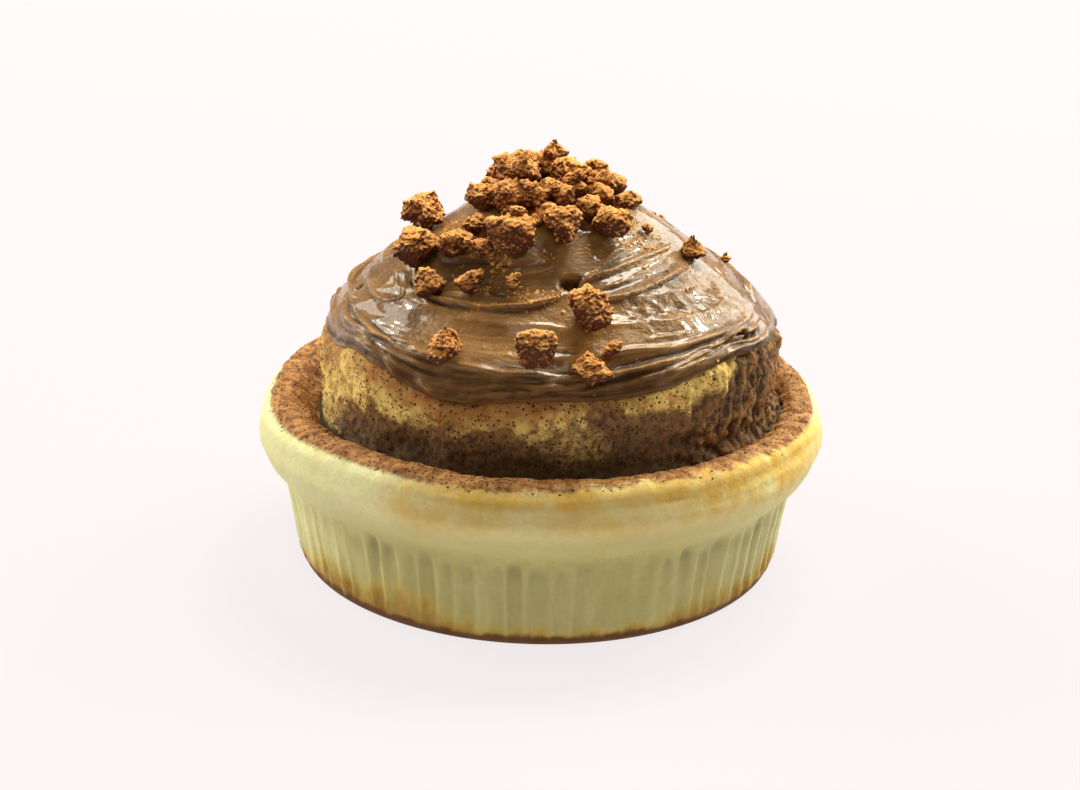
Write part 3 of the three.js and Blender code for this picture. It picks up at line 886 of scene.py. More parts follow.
# %% [markdown]
# ## The spread's own surface
# The spread is a thick skin over the crown. Its outline starts inside the lip, curls round the
# lip and climbs to the top; the underside follows the dough. The lip isn't level: it hangs low at
# the front left and is drawn up at the front right, where the coil shows.

# %% Rows and columns of the spread
SPREAD = COIL - 0.1
SPREAD_COLUMNS = 640
SPREAD_ROWS = 152
FACE = [
    (SPREAD - 0.2, LIP_HEIGHT + 0.3), (SPREAD - 0.1, LIP_HEIGHT + 1.0),
    (SPREAD - 0.8, LIP_HEIGHT + 2.8), (SPREAD - 3.9, LIP_HEIGHT + 7),
    (SPREAD - 8.8, LIP_HEIGHT + 10.6), (SPREAD - 14.3, LIP_HEIGHT + 14.4),
    (SPREAD - 20.1, SPREAD_TOP - 8.8), (SPREAD - 26.1, SPREAD_TOP - 4.6),
    (SPREAD - 33.4, SPREAD_TOP - 1.2), (0, SPREAD_TOP),
]
UNDER = [
    (0, CROWN + GAP), (COIL - 33, CROWN - 0.7), (COIL - 21, CROWN - 4.0),
    (COIL - 9.2, SHOULDER + 8.4), (COIL - 3.2, SHOULDER + 4.2), (COIL - 0.9, SHOULDER + 1.2),
    (COIL - 0.5, SHOULDER + 0.9),
]
under = along(UNDER, OUTLINE_STEP)
face = softened(along(UNDER[-1:] + FACE, OUTLINE_STEP), 6)
face_density = 0.75 + 0.6 * rise(face[:, 0], 14, 24)
whole = np.concatenate([under[:-1], face])
density = np.concatenate([np.full(len(under) - 1, 0.1), face_density])
is_face = np.concatenate([np.zeros(len(under) - 1), rise(np.arange(len(face)), 2, 16)])
rows = spaced_rows(np.column_stack([whole, is_face]), density, SPREAD_ROWS)
spread_profile = rows[:, :2]
face_share = np.repeat(rows[:, 2:], SPREAD_COLUMNS, axis=1).reshape(-1)
spread_turn = np.repeat(around(SPREAD_COLUMNS)[None, :], SPREAD_ROWS, axis=0)
places = to_places(spread_profile, spread_turn, COIL_AXIS[0] - BASE_AXIS[0]).reshape(-1, 3)
normals = to_normals(spread_profile, spread_turn)
turn = spread_turn.reshape(-1)
FACE_PROFILE = spread_profile[rows[:, 2] > 0.5]
print("spread rows", SPREAD_ROWS, "columns", SPREAD_COLUMNS)


# %% [markdown]
# ## Dragging the knife
# A knife stroke wipes out what was below it: it leaves a shallow smooth trough, pushes a thin
# raised lip of spread to its lower edge, and draws fine streaks along itself. Strokes are made in
# the order a hand would make them, so later ones cut across earlier ones. All of this is geometry,
# because a glossy surface shows every false bump in its reflections.

# %% The stroke tool
def drag(height, stops, width, depth, lip, level=0.0, streaks=0.06, seed=0, taper=8.0):
    """Drags a knife along (azimuth, height) stops; half its blade is width millimetres."""
    path = path_on(FACE_PROFILE, COIL_AXIS, stops)
    where, across, travelled, length = measure(places, normals, path, width + 2.5)
    line = np.stack([travelled, 0 * across, 0 * across], axis=1)
    share = across / width + 0.25 * field(line, 10, seed) + 0.08 * field(line, 3, seed + 4)
    ends = rise(travelled, -1, taper) * (1 - rise(travelled, length - taper, length + 1))
    covered = ends * (1 - rise(np.abs(share), 1 - 0.9 / width, 1 + 0.2 / width))
    lines = np.stack([travelled / 20, across / 0.65, 0 * across + seed], axis=1)
    fine_lines = field(lines * np.array([1, 2.1, 1]), 1.0, seed + 2)
    streak = streaks * (field(lines, 1.0, seed + 1) + 0.5 * fine_lines)
    wiped = level - depth * (1 - share**2) + streak
    height[where] = height[where] * (1 - covered) + wiped * covered
    vary = np.clip(0.55 + 0.8 * field(line, 6, seed + 3), 0, 1.3)
    past = (share - 1) * width
    edge = np.exp(-((past / np.where(past > 0, 0.30, 0.85)) ** 2))
    height[where] += ends * vary * lip * edge


def crest(height, stops, width, rise_by, taper=4.0, lean=1.5, seed=0, vary=0.45):
    """Raises a thin ribbon of spread, or cuts a groove, along (azimuth, height) stops."""
    path = path_on(FACE_PROFILE, COIL_AXIS, stops)
    ridge(height, places, normals, path, width, rise_by, taper, lean, seed, vary)


def dent(height, azimuth, level, radius, depth):
    """Presses a ragged hollow into the spread, and returns how far inside it each point is."""
    centre = path_on(FACE_PROFILE, COIL_AXIS, [(azimuth, level), (azimuth, level)])[0]
    distance = np.linalg.norm(places - centre, axis=1)
    uneven = radius * (1 + 0.35 * field(places, 1.6, 175))
    inside = np.exp(-((distance / uneven) ** 3))
    height -= depth * inside
    return inside


swirl = 0.60 * field(places, 17, 51) + 0.22 * field(places, 7, 52)

# %% [markdown]
# ## The strokes, one after another
# First come the marks of the back and the sides. On the front, the broad smooth sweep is dragged
# first, and the pool below the crumbs with its crescent lip cuts into it. Then come the ribbons of
# the lower edge, thin folds that lie there by chance, and the fan of ridges on the right. Last come
# the petals on the left, four more folds of the lower edge, and the hollows.

# %% Strokes of the back and sides
BACK_STROKES = [
    ([(10, 50), (50, 51.5), (95, 50), (140, 51), (180, 50)], 3.2, 0.5, 0.7),
    ([(-10, 55), (30, 57), (70, 56)], 3.0, 0.5, 0.6),
    ([(60, 58), (100, 60.5), (150, 58.5), (190, 60)], 3.6, 0.6, 0.8),
    ([(20, 63), (70, 65.5), (120, 63.5), (165, 65.5)], 3.4, 0.55, 0.7),
    ([(95, 54), (130, 55.5), (175, 54), (200, 55)], 2.6, 0.45, 0.6),
]
for number, (stops, width, depth, lip) in enumerate(BACK_STROKES):
    drag(swirl, stops, width, depth, lip, seed=60 + number, streaks=0.10)
for number in range(7):
    start = 20 + 23 * number
    low = 48 + 1.2 * (number % 3)
    stops = [(start, low), (start + 16, low + 1.2), (start + 34, low + 0.4)]
    crest(swirl, stops, 0.5, 0.6, 5, seed=200 + number)

# %% Strokes of the front
SWEEP = [(200, 53.2), (222, 53.2), (244, 54.0), (266, 54.6), (292, 55.0)]
POOL = [(200, 61.5), (214, 60.5), (232, 61.6), (256, 61.8), (272, 62.6)]
drag(swirl, SWEEP, 4.0, 0.7, 0.0, seed=80, streaks=0.05)
drag(swirl, POOL, 4.2, 1.3, 0.0, -0.5, seed=83)
CRESCENT = [(203, 60.8), (214, 58.6), (228, 57.5), (246, 57.9), (262, 58.8), (276, 60.6)]
crest(swirl, CRESCENT, 0.42, 1.05, 6, 1.9, seed=84, vary=0.5)
crest(swirl, [(216, 56.8), (226, 56.5), (240, 57.0)], 0.5, 0.45, 4, seed=86)
crest(swirl, [(230, 60.6), (246, 60.2), (258, 61.0)], 0.5, 0.45, 4, seed=88)
crest(swirl, [(252, 63.0), (264, 63.4), (276, 64.6)], 0.6, 0.5, 4, seed=89)

# %% Ribbons of the lower edge
EDGE_RIBBONS = [
    ([(185, 52.0), (198, 50.7), (212, 49.8), (228, 49.1), (244, 49.4), (270, 50.0)], 0.60, 0.85),
    ([(192, 50.6), (208, 49.4), (222, 48.3), (238, 47.9), (254, 48.1), (264, 48.1)], 0.50, 0.65),
    ([(188, 53.6), (202, 52.0), (216, 51.0), (230, 50.5)], 0.45, 0.45),
    ([(204, 48.6), (216, 47.7), (230, 46.8)], 0.60, 0.55),
    ([(236, 47.0), (246, 46.2), (256, 46.7), (270, 47.0)], 0.65, 0.75),
    ([(241, 45.6), (250, 45.0), (262, 45.8)], 0.60, 0.45),
    ([(270, 47.0), (286, 47.9), (304, 49.2), (317, 50.1), (326, 50.6)], 0.60, 0.70),
    ([(270, 48.9), (284, 49.7), (302, 50.6), (319, 51.2), (334, 51.4)], 0.60, 0.90),
    ([(281, 52.7), (294, 52.9), (306, 52.5), (322, 52.3), (341, 52.2)], 0.60, 0.80),
    ([(288, 53.8), (302, 54.0), (316, 53.6)], 0.50, 0.40),
]
drag(swirl, [(272, 48.2), (292, 49.1), (308, 50.0), (324, 50.8)], 1.0, 0.45, 0.0, 0.1, seed=91)
drag(swirl, [(280, 51.0), (298, 51.6), (316, 51.6), (336, 51.7)], 1.3, 0.50, 0.0, 0.1, seed=92)
drag(swirl, [(190, 51.8), (206, 50.4), (222, 49.4), (240, 48.8)], 0.9, 0.35, 0.0, 0.1, seed=93)
for number, (stops, width, rise_by) in enumerate(EDGE_RIBBONS):
    crest(swirl, stops, 0.62 * width, 0.85 * rise_by, 7, 2.0, seed=70 + 2 * number, vary=0.8)
crest(swirl, [(212, 52.4), (220, 51.6), (229, 50.9)], 0.35, -0.50, 3, seed=95)
crest(swirl, [(262, 53.4), (271, 53.5), (279, 53.2)], 0.35, -0.35, 3, seed=96)

# %% Thin folds left by the blade
def chance(number, part, seed):
    """A repeatable number from 0 to 1 for one part of one numbered thing."""
    return scattered(np.array([number, part, 5.0]), seed)


THIN_FOLDS = 18
for number in range(THIN_FOLDS):
    start = 192 + 125 * chance(number, 0, 88)
    low = 46.2 + 5.4 * chance(number, 1, 88)
    slope = 2.2 * (chance(number, 2, 88) - 0.5)
    span = 12 + 22 * chance(number, 3, 88)
    stops = [(start, low), (start + span / 2, low + 0.5 * slope - 0.4), (start + span, low + slope)]
    crest(swirl, stops, 0.34, 0.35 + 0.40 * chance(number, 4, 88), 4, 2.0, seed=220 + 2 * number, vary=0.9)

# %% Fan of the right
drag(swirl, [(280, 58.0), (298, 57.6), (316, 57.4), (340, 57.0)], 3.0, 0.55, 0.25, 0.1, seed=100)
drag(swirl, [(279, 60.8), (294, 61.2), (310, 62.0), (328, 62.4), (346, 62.2)], 1.9, 0.50, 0.20, 0.1, seed=101)
drag(swirl, [(284, 63.4), (300, 64.4), (318, 65.0), (344, 64.4)], 1.7, 0.50, 0.20, 0.1, seed=102)
FAN_RIDGES = [
    ([(278, 61.6), (290, 62.7), (306, 63.7), (324, 64.1), (343, 63.8)], 0.65, 1.00),
    ([(281, 59.6), (294, 59.6), (308, 60.2), (328, 60.9), (344, 60.8)], 0.60, 0.85),
    ([(288, 64.0), (304, 65.5), (326, 66.2), (345, 64.8)], 0.60, 0.90),
    ([(284, 60.9), (296, 61.4), (308, 62.2)], 0.45, 0.50),
    ([(300, 66.8), (316, 67.6), (336, 67.0)], 0.55, 0.70),
    ([(284, 57.4), (296, 57.0), (306, 57.3)], 0.45, 0.40),
]
for number, (stops, width, rise_by) in enumerate(FAN_RIDGES):
    crest(swirl, stops, 0.62 * width, 0.80 * rise_by, 6, 2.0, seed=110 + 2 * number, vary=0.8)
facet_side = window(turn, 296, 346, 12) * bell(places[:, 2], 57.2, 3.4)
slanted = places @ np.array([[0.8, 0.5, 0.0], [0.3, 0.2, 0.5], [0.3, 0.3, 0.9]])
bent = slanted + 1.2 * np.stack([field(places, 5, 130 + axis) for axis in range(3)], axis=1)
facets = 0.75 * (0.5 - np.abs(field(bent, 3.6, 134))) + 0.20 * field(bent, 1.6, 135)
swirl += facet_side * facets
left_side = window(turn, 184, 228, 14) * bell(places[:, 2], 56.0, 5.0)
swirl += left_side * 0.45 * (0.5 - np.abs(field(bent, 3.0, 136)))
crinkled = np.maximum(facet_side, 0.8 * left_side)

# %% Petals and hollows
drag(swirl, [(188, 60.8), (200, 60.6), (211, 59.6)], 2.8, 0.35, 0.35, 0.3, seed=140, streaks=0.03)
drag(swirl, [(186, 57.0), (198, 56.8), (208, 56.6)], 2.2, 0.40, 0.45, 0.2, seed=141, streaks=0.03)
PETALS = [
    [(205, 60.4), (213, 58.9), (223, 57.6), (232, 56.6)],
    [(208, 61.6), (217, 59.8), (226, 58.6)],
    [(192, 55.4), (204, 54.9), (212, 55.3), (216, 56.6), (210, 58.2)],
    [(194, 58.6), (202, 58.2), (209, 57.0)],
]
for number, stops in enumerate(PETALS):
    crest(swirl, stops, 0.38, 0.45, 3, seed=150 + 2 * number, vary=0.7)
crest(swirl, [(320, 50.0), (327, 51.9), (334, 50.6), (331, 48.8)], 0.9, 1.2, 2, seed=160)
crest(swirl, [(236, 47.6), (242, 46.6), (250, 46.9)], 0.9, 0.9, 2, seed=162)
crest(swirl, [(226, 48.0), (231, 46.4), (238, 45.6)], 0.8, 0.8, 2, seed=164)
crest(swirl, [(262, 46.6), (271, 48.2), (280, 48.6)], 0.7, 0.8, 2, seed=166)
hollows = dent(swirl, 277.5, 62.0, 1.5, 2.8)
hollows += dent(swirl, 189, 53.9, 1.1, 1.8)
hollows += dent(swirl, 328, 50.2, 1.1, 1.8)
uneven_lip = 0.7 * layered(places, 4, 172) * bell(places[:, 2], LIP_HEIGHT, 1.6)
swirl += 0.05 * layered(places, 2.2, 170) + uneven_lip
print("spread relief from", swirl.min().round(2), "to", swirl.max().round(2), "mm")


# %% [markdown]
# ## Thin ridges let light through
# Where the spread is drawn out thin, light shines through it, and that glow is painted in orange.
# Low places between ridges get painted shade. How far a point stands above its surroundings tells
# the two apart: the height is compared with its own blurred copy, and the difference is kept for the
# material. The margin, the low front, the hollows and the pool get painted shade too. Other numbers
# say where the knife's streaks show, where the skin is crinkled and where dust may lie.

# %% Build the spread
def blurred(height, reach):
    """The height field averaged over reach rows and columns to each side."""
    grid = height.reshape(SPREAD_ROWS, SPREAD_COLUMNS)
    total = sum(np.roll(grid, shift, axis=1) for shift in range(-reach, reach + 1)) / (2 * reach + 1)
    padded = np.pad(total, ((reach, reach), (0, 0)), mode="edge")
    total = sum(padded[i:i + SPREAD_ROWS] for i in range(2 * reach + 1)) / (2 * reach + 1)
    return total.reshape(-1)


height_at = places[:, 2]
swirl_relief = swirl * face_share
stands_out = swirl_relief - blurred(swirl_relief, 4)
# Painted glow where ridges stand out thin and light would shine through them.
thin = rise(stands_out, 0.05, 0.42) * (0.55 + 0.45 * field(places, 5, 177))
# Painted shade where the surface lies lower than its surroundings.
deep = rise(-stands_out, 0.04, 0.36)
at_margin = rise(LIP_HEIGHT + 2.6 - height_at + 0.5 * field(places, 2.5, 178), 0, 1.6) * face_share
below_sweep = rise(LIP_HEIGHT + 6.0 - height_at + 1.2 * field(places, 4, 179), 0, 3.5)
low_front = window(turn, 218, 304, 30) * below_sweep
in_pool = window(turn, 218, 288, 18) * bell(height_at, 62.2, 2.6)
# The margin, the low front, the hollows and the pool get painted shade as well.
for shaded_share in (0.90 * at_margin, 0.55 * low_front, np.clip(hollows, 0, 1), 0.40 * in_pool):
    deep = np.maximum(deep, shaded_share)
margin = np.maximum(at_margin, 0.75 * low_front)

# %% Streaks, dust and the finished spread
band_edge = rise(height_at, 50.5, 52.5) * (1 - rise(height_at, 60, 63))
streaky = 1 - 0.85 * band_edge * window(turn, 190, 300, 20)
streaky = streaky * (1 - 0.6 * window(turn, 225, 285, 20) * rise(height_at, 60, 62))
row_steps = np.diff(spread_profile, axis=0, prepend=spread_profile[:1])
row_length = np.cumsum(np.linalg.norm(row_steps, axis=1))
drawn = np.repeat(row_length[:, None], SPREAD_COLUMNS, axis=1).reshape(-1)
drawn = drawn + 1.6 * field(places, 13, 176)
lip_shift = by_azimuth(turn, LIP_STOPS) + 0.45 * field(places * np.array([1, 1, 0.2]), 4.5, 173)
lip_shift = lip_shift * (1 - rise(height_at, LIP_HEIGHT, LIP_HEIGHT + 8))
pool = window(turn, 224, 284, 14) * bell(height_at, 62.4, 3.0)
CRESCENT_STOPS = [
    (200, 60.6), (215, 58.8), (228, 58.0), (246, 58.4), (262, 59.4), (278, 61.6), (290, 63),
]
crescent_height = by_azimuth(turn, CRESCENT_STOPS)
along_lip = window(turn, 218, 276, 12) * bell(height_at, crescent_height, 0.7)
under_heap = bell(height_at, 66.5, 3.0) * window(turn, 195, 345, 30)
dusting = np.clip(0.8 * pool + 1.4 * along_lip + 0.5 * under_heap + 0.02, 0, 1.4) * face_share
dusting = dusting * rise(layered(places, 4, 120), -0.2, 0.5)
swirl_places = places + normals * swirl_relief[:, None]
swirl_places[:, 2] += lip_shift
spread_attributes = {
    "thin": thin,
    "deep": deep,
    "dusting": dusting,
    "drawn": drawn,
    "streaky": streaky,
    "crinkled": crinkled,
    "margin": margin,
}
spread = ring_mesh(
    "biscuit_spread_swirl",
    swirl_places.reshape(SPREAD_ROWS, SPREAD_COLUMNS, 3),
    COIL_AXIS + [0, 0, CROWN + GAP],
    COIL_AXIS + [0, 0, SPREAD_TOP + float(swirl_relief[-SPREAD_COLUMNS:].mean())],
    spread_attributes,
)
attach(spread, "root")
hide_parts("biscuit_spread")
print("spread triangles", triangle_count(spread))

# %% [markdown]
# ## Glossy spread
# Biscuit spread is fat with fine solids in it: a brown body with a sharp oily skin. A moderately
# rough shader gives the broad soft sheen, a thin smooth coat over it gives the small hard glints,
# and a little scattering warms the thin ridges. Light and dark streaks follow the knife. The margin
# is duller than the rest, and painted shade darkens it, the low places and the hollows, while a
# painted glow makes the thin ridges orange.

# %% The spread material
glossy, tree, shader, place = new_material("biscuit_spread")
cloud = between(tree, noise(tree, place, 9, 4), 0.35, 0.65)
body = blend_colour(tree, cloud, (0.330, 0.156, 0.041), (0.205, 0.088, 0.022))
inside_margin = math_node(tree, "SUBTRACT", 1.0, attribute(tree, "margin"))
skin = between(tree, noise(tree, place, 6, 3), 0.35, 0.65, 0.19, 0.34)
tree.links.new(skin, shader.inputs["Roughness"])
specular = math_node(tree, "MULTIPLY_ADD", inside_margin, 0.20, 0.08)
tree.links.new(specular, shader.inputs["Specular IOR Level"])
shader.inputs["Specular Tint"].default_value = (1.0, 0.96, 0.70, 1.0)
shader.inputs["Subsurface Weight"].default_value = 0.03
shader.inputs["Subsurface Radius"].default_value = (1.0, 0.45, 0.18)
shader.inputs["Subsurface Scale"].default_value = 0.0010
coat = math_node(tree, "MULTIPLY_ADD", inside_margin, 0.44, 0.06)
tree.links.new(coat, shader.inputs["Coat Weight"])
shader.inputs["Coat Roughness"].default_value = 0.05
shader.inputs["Coat IOR"].default_value = 1.45
across_knife = math_node(tree, "MULTIPLY", attribute(tree, "drawn"), 1.5)
drag_lines = drawn_noise(tree, place, 6.0, across_knife, 0.65)
dark_lines = product(tree, between(tree, drag_lines, 0.52, 0.36), attribute(tree, "streaky"), 0.55)
body = blend_colour(tree, dark_lines, body, (0.110, 0.044, 0.013))
light_lines = product(tree, between(tree, drag_lines, 0.54, 0.70), attribute(tree, "streaky"), 0.45)
body = blend_colour(tree, light_lines, body, (0.50, 0.26, 0.075))
# Painted glow: thin ridges are drawn orange, as if lit through.
body = blend_colour(tree, product(tree, attribute(tree, "thin"), 0.72), body, (0.54, 0.26, 0.066))
# Painted shade in low places, at the margin, on the low front, in the hollows and in the pool.
body = blend_colour(tree, product(tree, attribute(tree, "deep"), 0.88), body, (0.050, 0.019, 0.008))
tree.links.new(body, shader.inputs["Base Color"])
drag_lines = math_node(tree, "MULTIPLY", drag_lines, attribute(tree, "streaky"))
crinkles = math_node(tree, "MULTIPLY_ADD", attribute(tree, "crinkled"), 1.6, 0.45)
ripples = math_node(tree, "MULTIPLY_ADD", noise(tree, place, 1.8, 5, 0.68), crinkles, drag_lines)
crease_noise = math_node(tree, "SUBTRACT", noise(tree, place, 2.4, 3, 0.6), 0.5)
crease_depth = math_node(tree, "MULTIPLY_ADD", attribute(tree, "crinkled"), 2.2, 0.5)
creases = math_node(tree, "MULTIPLY", math_node(tree, "ABSOLUTE", crease_noise), crease_depth)
ripples = math_node(tree, "SUBTRACT", ripples, creases)
bump = add_node(tree, "ShaderNodeBump", {"Height": ripples, "Strength": 0.80, "Distance": 0.0007})
tree.links.new(bump.outputs["Normal"], shader.inputs["Normal"])
spread.data.materials.append(glossy)

# %% [markdown]
# ## Broken biscuit
# A crumb is a lump of baked grains: rounded bumps of about a millimetre with sharp gaps between
# them, and finer sand on top. The measured crumbs have the right place and bulk but flat faces.
# Each is copied, remeshed into small even faces, and pushed in and out by a tree of Voronoi cells,
# which look like packed grains. How high a point stands and which way it faces are stored: the
# material paints the gaps and undersides darker as shade, and the upward tops lighter as light.

# %% The crumble tree
crumble_tree, given, done = new_tree(
    "crumble",
    [
        ("Lump", "NodeSocketFloat"),
        ("Lump Height", "NodeSocketFloat"),
        ("Break Depth", "NodeSocketFloat"),
        ("Grain", "NodeSocketFloat"),
        ("Grain Height", "NodeSocketFloat"),
        ("Sand Height", "NodeSocketFloat"),
        ("Seed", "NodeSocketFloat"),
        ("Material", "NodeSocketMaterial"),
    ],
)
t = crumble_tree
place = add_node(t, "GeometryNodeInputPosition").outputs[0]
facing = add_node(t, "GeometryNodeInputNormal").outputs[0]


def cells(size):
    """Rounded cells about as wide as size: high in their middles, low between them."""
    scale = math_node(t, "DIVIDE", 1.0, size)
    inputs = {"Vector": place, "W": given["Seed"], "Scale": scale}
    node = add_node(t, "ShaderNodeTexVoronoi", inputs, voronoi_dimensions="4D", feature="F1")
    return math_node(t, "SUBTRACT", 0.5, node.outputs["Distance"])


def rough(size_factor):
    """Plain noise between -0.5 and 0.5."""
    scale = math_node(t, "DIVIDE", size_factor, given["Lump"])
    inputs = {"Vector": place, "W": given["Seed"], "Scale": scale, "Detail": 2.0}
    node = add_node(t, "ShaderNodeTexNoise", inputs, noise_dimensions="4D")
    return math_node(t, "SUBTRACT", node.outputs[0], 0.5)


lump_push = math_node(t, "MULTIPLY", rough(1.0), given["Lump Height"])
breaks = math_node(t, "ABSOLUTE", rough(1.7))
breaks = math_node(t, "MULTIPLY", math_node(t, "SUBTRACT", 0.12, breaks), given["Break Depth"])
grains_up = math_node(t, "MULTIPLY", cells(given["Grain"]), given["Grain Height"])
small_grain = math_node(t, "MULTIPLY", given["Grain"], 0.5)
sand = math_node(t, "MULTIPLY", cells(small_grain), given["Sand Height"])
large = math_node(t, "SUBTRACT", lump_push, breaks)
fine_rough = math_node(t, "MULTIPLY", rough(5.0), math_node(t, "MULTIPLY", given["Lump Height"], 0.45))
large = math_node(t, "ADD", large, fine_rough)
total = math_node(t, "ADD", math_node(t, "ADD", large, grains_up), sand)
push = add_node(t, "ShaderNodeVectorMath", {0: facing, "Scale": total}, operation="SCALE").outputs[0]
moved = add_node(t, "GeometryNodeSetPosition", {"Geometry": given["Geometry"], "Offset": push})
small = math_node(t, "DIVIDE", math_node(t, "ADD", grains_up, sand), given["Grain Height"])
small = math_node(t, "MULTIPLY", small, 0.24)
above = math_node(t, "SUBTRACT", small, math_node(t, "DIVIDE", breaks, given["Break Depth"]))
# Painted shade: undersides get a lower number and are drawn darker, upward tops a higher one.
upward = add_node(t, "ShaderNodeSeparateXYZ", {0: facing}).outputs["Z"]
shade_of_side = between(t, upward, -0.55, 0.80, -0.06, 0.72)
kept = keep_number(t, moved.outputs[0], "grain", math_node(t, "ADD", above, shade_of_side))
smooth = add_node(t, "GeometryNodeSetShadeSmooth", {"Geometry": kept})
end_tree(t, smooth.outputs[0], given["Material"], done)

# %% [markdown]
# ## Biscuit colour
# The biscuit is orange brown. Single grains differ: some are pale with sugar, some nearly burnt,
# so a Voronoi pattern gives each cell its own tone. The stored number paints shade and light: gaps
# and undersides are drawn darker as painted shade, and upward tops lighter as painted light.

# %% The biscuit material
biscuit, tree, shader, place = new_material("biscuit_crumb")
shade = add_node(tree, "ShaderNodeTexVoronoi", {"Vector": place, "Scale": 1700.0}).outputs["Color"]
shade = add_node(tree, "ShaderNodeSeparateColor", {0: shade}).outputs[0]
cloud = between(tree, noise(tree, place, 3.5, 4), 0.35, 0.65)
body = blend_colour(tree, cloud, (0.75, 0.315, 0.072), (0.54, 0.180, 0.038))
body = blend_colour(tree, product(tree, between(tree, shade, 0.70, 0.85), 0.70), body, (0.92, 0.54, 0.180))
body = blend_colour(tree, product(tree, between(tree, shade, 0.22, 0.10), 0.35), body, (0.34, 0.105, 0.020))
# Painted light on the upward tops.
lit_top = product(tree, between(tree, attribute(tree, "grain"), 0.42, 0.80), 0.65)
body = blend_colour(tree, lit_top, body, (0.92, 0.45, 0.105))
# Painted shade in the gaps between grains and on undersides.
gap = between(tree, attribute(tree, "grain"), 0.64, 0.00)
body = blend_colour(tree, product(tree, gap, 0.96), body, (0.085, 0.018, 0.006))
tree.links.new(body, shader.inputs["Base Color"])
shader.inputs["Roughness"].default_value = 0.78
shader.inputs["Specular IOR Level"].default_value = 0.3
shader.inputs["Subsurface Weight"].default_value = 0.08
shader.inputs["Subsurface Radius"].default_value = (1.0, 0.4, 0.12)
shader.inputs["Subsurface Scale"].default_value = 0.0008
sandy = add_node(tree, "ShaderNodeTexVoronoi", {"Vector": place, "Scale": 2600.0}).outputs["Distance"]
sandy = math_node(tree, "MULTIPLY_ADD", sandy, -1.0, noise(tree, place, 0.5, 3, 0.7))
bump = add_node(tree, "ShaderNodeBump", {"Height": sandy, "Strength": 0.6, "Distance": 0.0003})
tree.links.new(bump.outputs["Normal"], shader.inputs["Normal"])


# %% [markdown]
# ## Make every crumb
# The frame's crumbs are loose triangles, so a copy is merged first. A voxel remesh then gives
# small even faces: voxels are finer on the smallest crumbs, so that they keep enough detail. Each
# lump is then flattened on a few random planes, as a snapped biscuit is, and a few listed ones are
# tapered or stretched before the tree gives them their grains.

# %% Crumbs
TAPER = {
    "crumb_21": 0.55, "crumb_27": 0.75, "crumb_28": 0.40, "crumb_29": -0.38, "crumb_30": 0.75,
    "crumb_41": 0.75, "crumb_43": 0.75,
}
STRETCH = {
    "crumb_28": (1.12, 0.90, 0.82), "crumb_29": (1.20, 0.90, 1.04), "crumb_32": (0.80, 0.95, 1.22),
}
BREAKS = 7
LARGEST_VOXEL = 0.17 * MM
VOXELS_ACROSS = 26
MERGE_DISTANCE = 0.001 * MM
GRAIN = 0.74 * MM
GRAIN_HEIGHT = 0.50 * MM


def broken(mesh, seed, taper=0.0, stretch=(1.0, 1.0, 1.0)):
    """Flattens a rounded lump on a few random planes, as a snapped biscuit is, then shapes it."""
    count = len(mesh.vertices)
    place = np.zeros(count * 3)
    mesh.vertices.foreach_get("co", place)
    place = place.reshape(-1, 3)
    middle = (place.min(axis=0) + place.max(axis=0)) / 2
    from_middle = place - middle
    for number in range(BREAKS):
        way = np.array([scattered(np.array([number, axis, 7.0]), seed) - 0.5 for axis in range(3)])
        way = way / np.linalg.norm(way)
        distance = from_middle @ way
        limit = distance.max() * (0.62 + 0.25 * scattered(np.array([number, 9.0, 1.0]), seed))
        from_middle = from_middle - np.maximum(distance - limit, 0)[:, None] * 0.9 * way
    regrown = 1.1 * np.ptp(place, axis=0) / np.ptp(from_middle, axis=0)
    from_middle = (from_middle - (from_middle.min(axis=0) + from_middle.max(axis=0)) / 2) * regrown
    top = from_middle[:, 2].max()
    share = rise(from_middle[:, 2], -0.6 * top, 1.05 * top)
    narrowed = 1 - max(taper, 0) * share + min(taper, 0) * (1 - share)
    from_middle = from_middle * np.array(stretch)
    from_middle[:, :2] *= narrowed[:, None]
    mesh.vertices.foreach_set("co", (from_middle + middle).reshape(-1))


def remeshed(node, name, voxel):
    """A merged copy of a frame node, rebuilt in even faces of about one voxel."""
    copy = node.data.copy()
    work = bmesh.new()
    work.from_mesh(copy)
    bmesh.ops.remove_doubles(work, verts=work.verts, dist=MERGE_DISTANCE)
    work.to_mesh(copy)
    work.free()
    copy.materials.clear()
    piece = new_piece(name + "_base", copy)
    modifier = piece.modifiers.new("remesh", "REMESH")
    modifier.mode = "VOXEL"
    modifier.voxel_size = voxel
    piece.data = evaluated_mesh(piece)
    return piece


def settle(piece):
    """Lowers a piece that stands higher than the measured roll."""
    count = len(piece.data.vertices)
    place = np.zeros(count * 3)
    piece.data.vertices.foreach_get("co", place)
    place = place.reshape(-1, 3)
    place[:, 2] -= max(place[:, 2].max() - cad_box[1][2], 0)
    piece.data.vertices.foreach_set("co", place.reshape(-1))


def crumbled(base, lump, lump_height, break_depth, sand_height, seed, name):
    """Runs the crumble tree on a base, which it then discards, and returns the grainy piece."""
    values = {
        "Lump": lump,
        "Lump Height": lump_height,
        "Break Depth": break_depth,
        "Grain": GRAIN,
        "Grain Height": GRAIN_HEIGHT,
        "Sand Height": sand_height,
        "Seed": seed,
        "Material": biscuit,
    }
    piece = run_tree(base, crumble_tree, values, name)
    discard(base)
    return piece


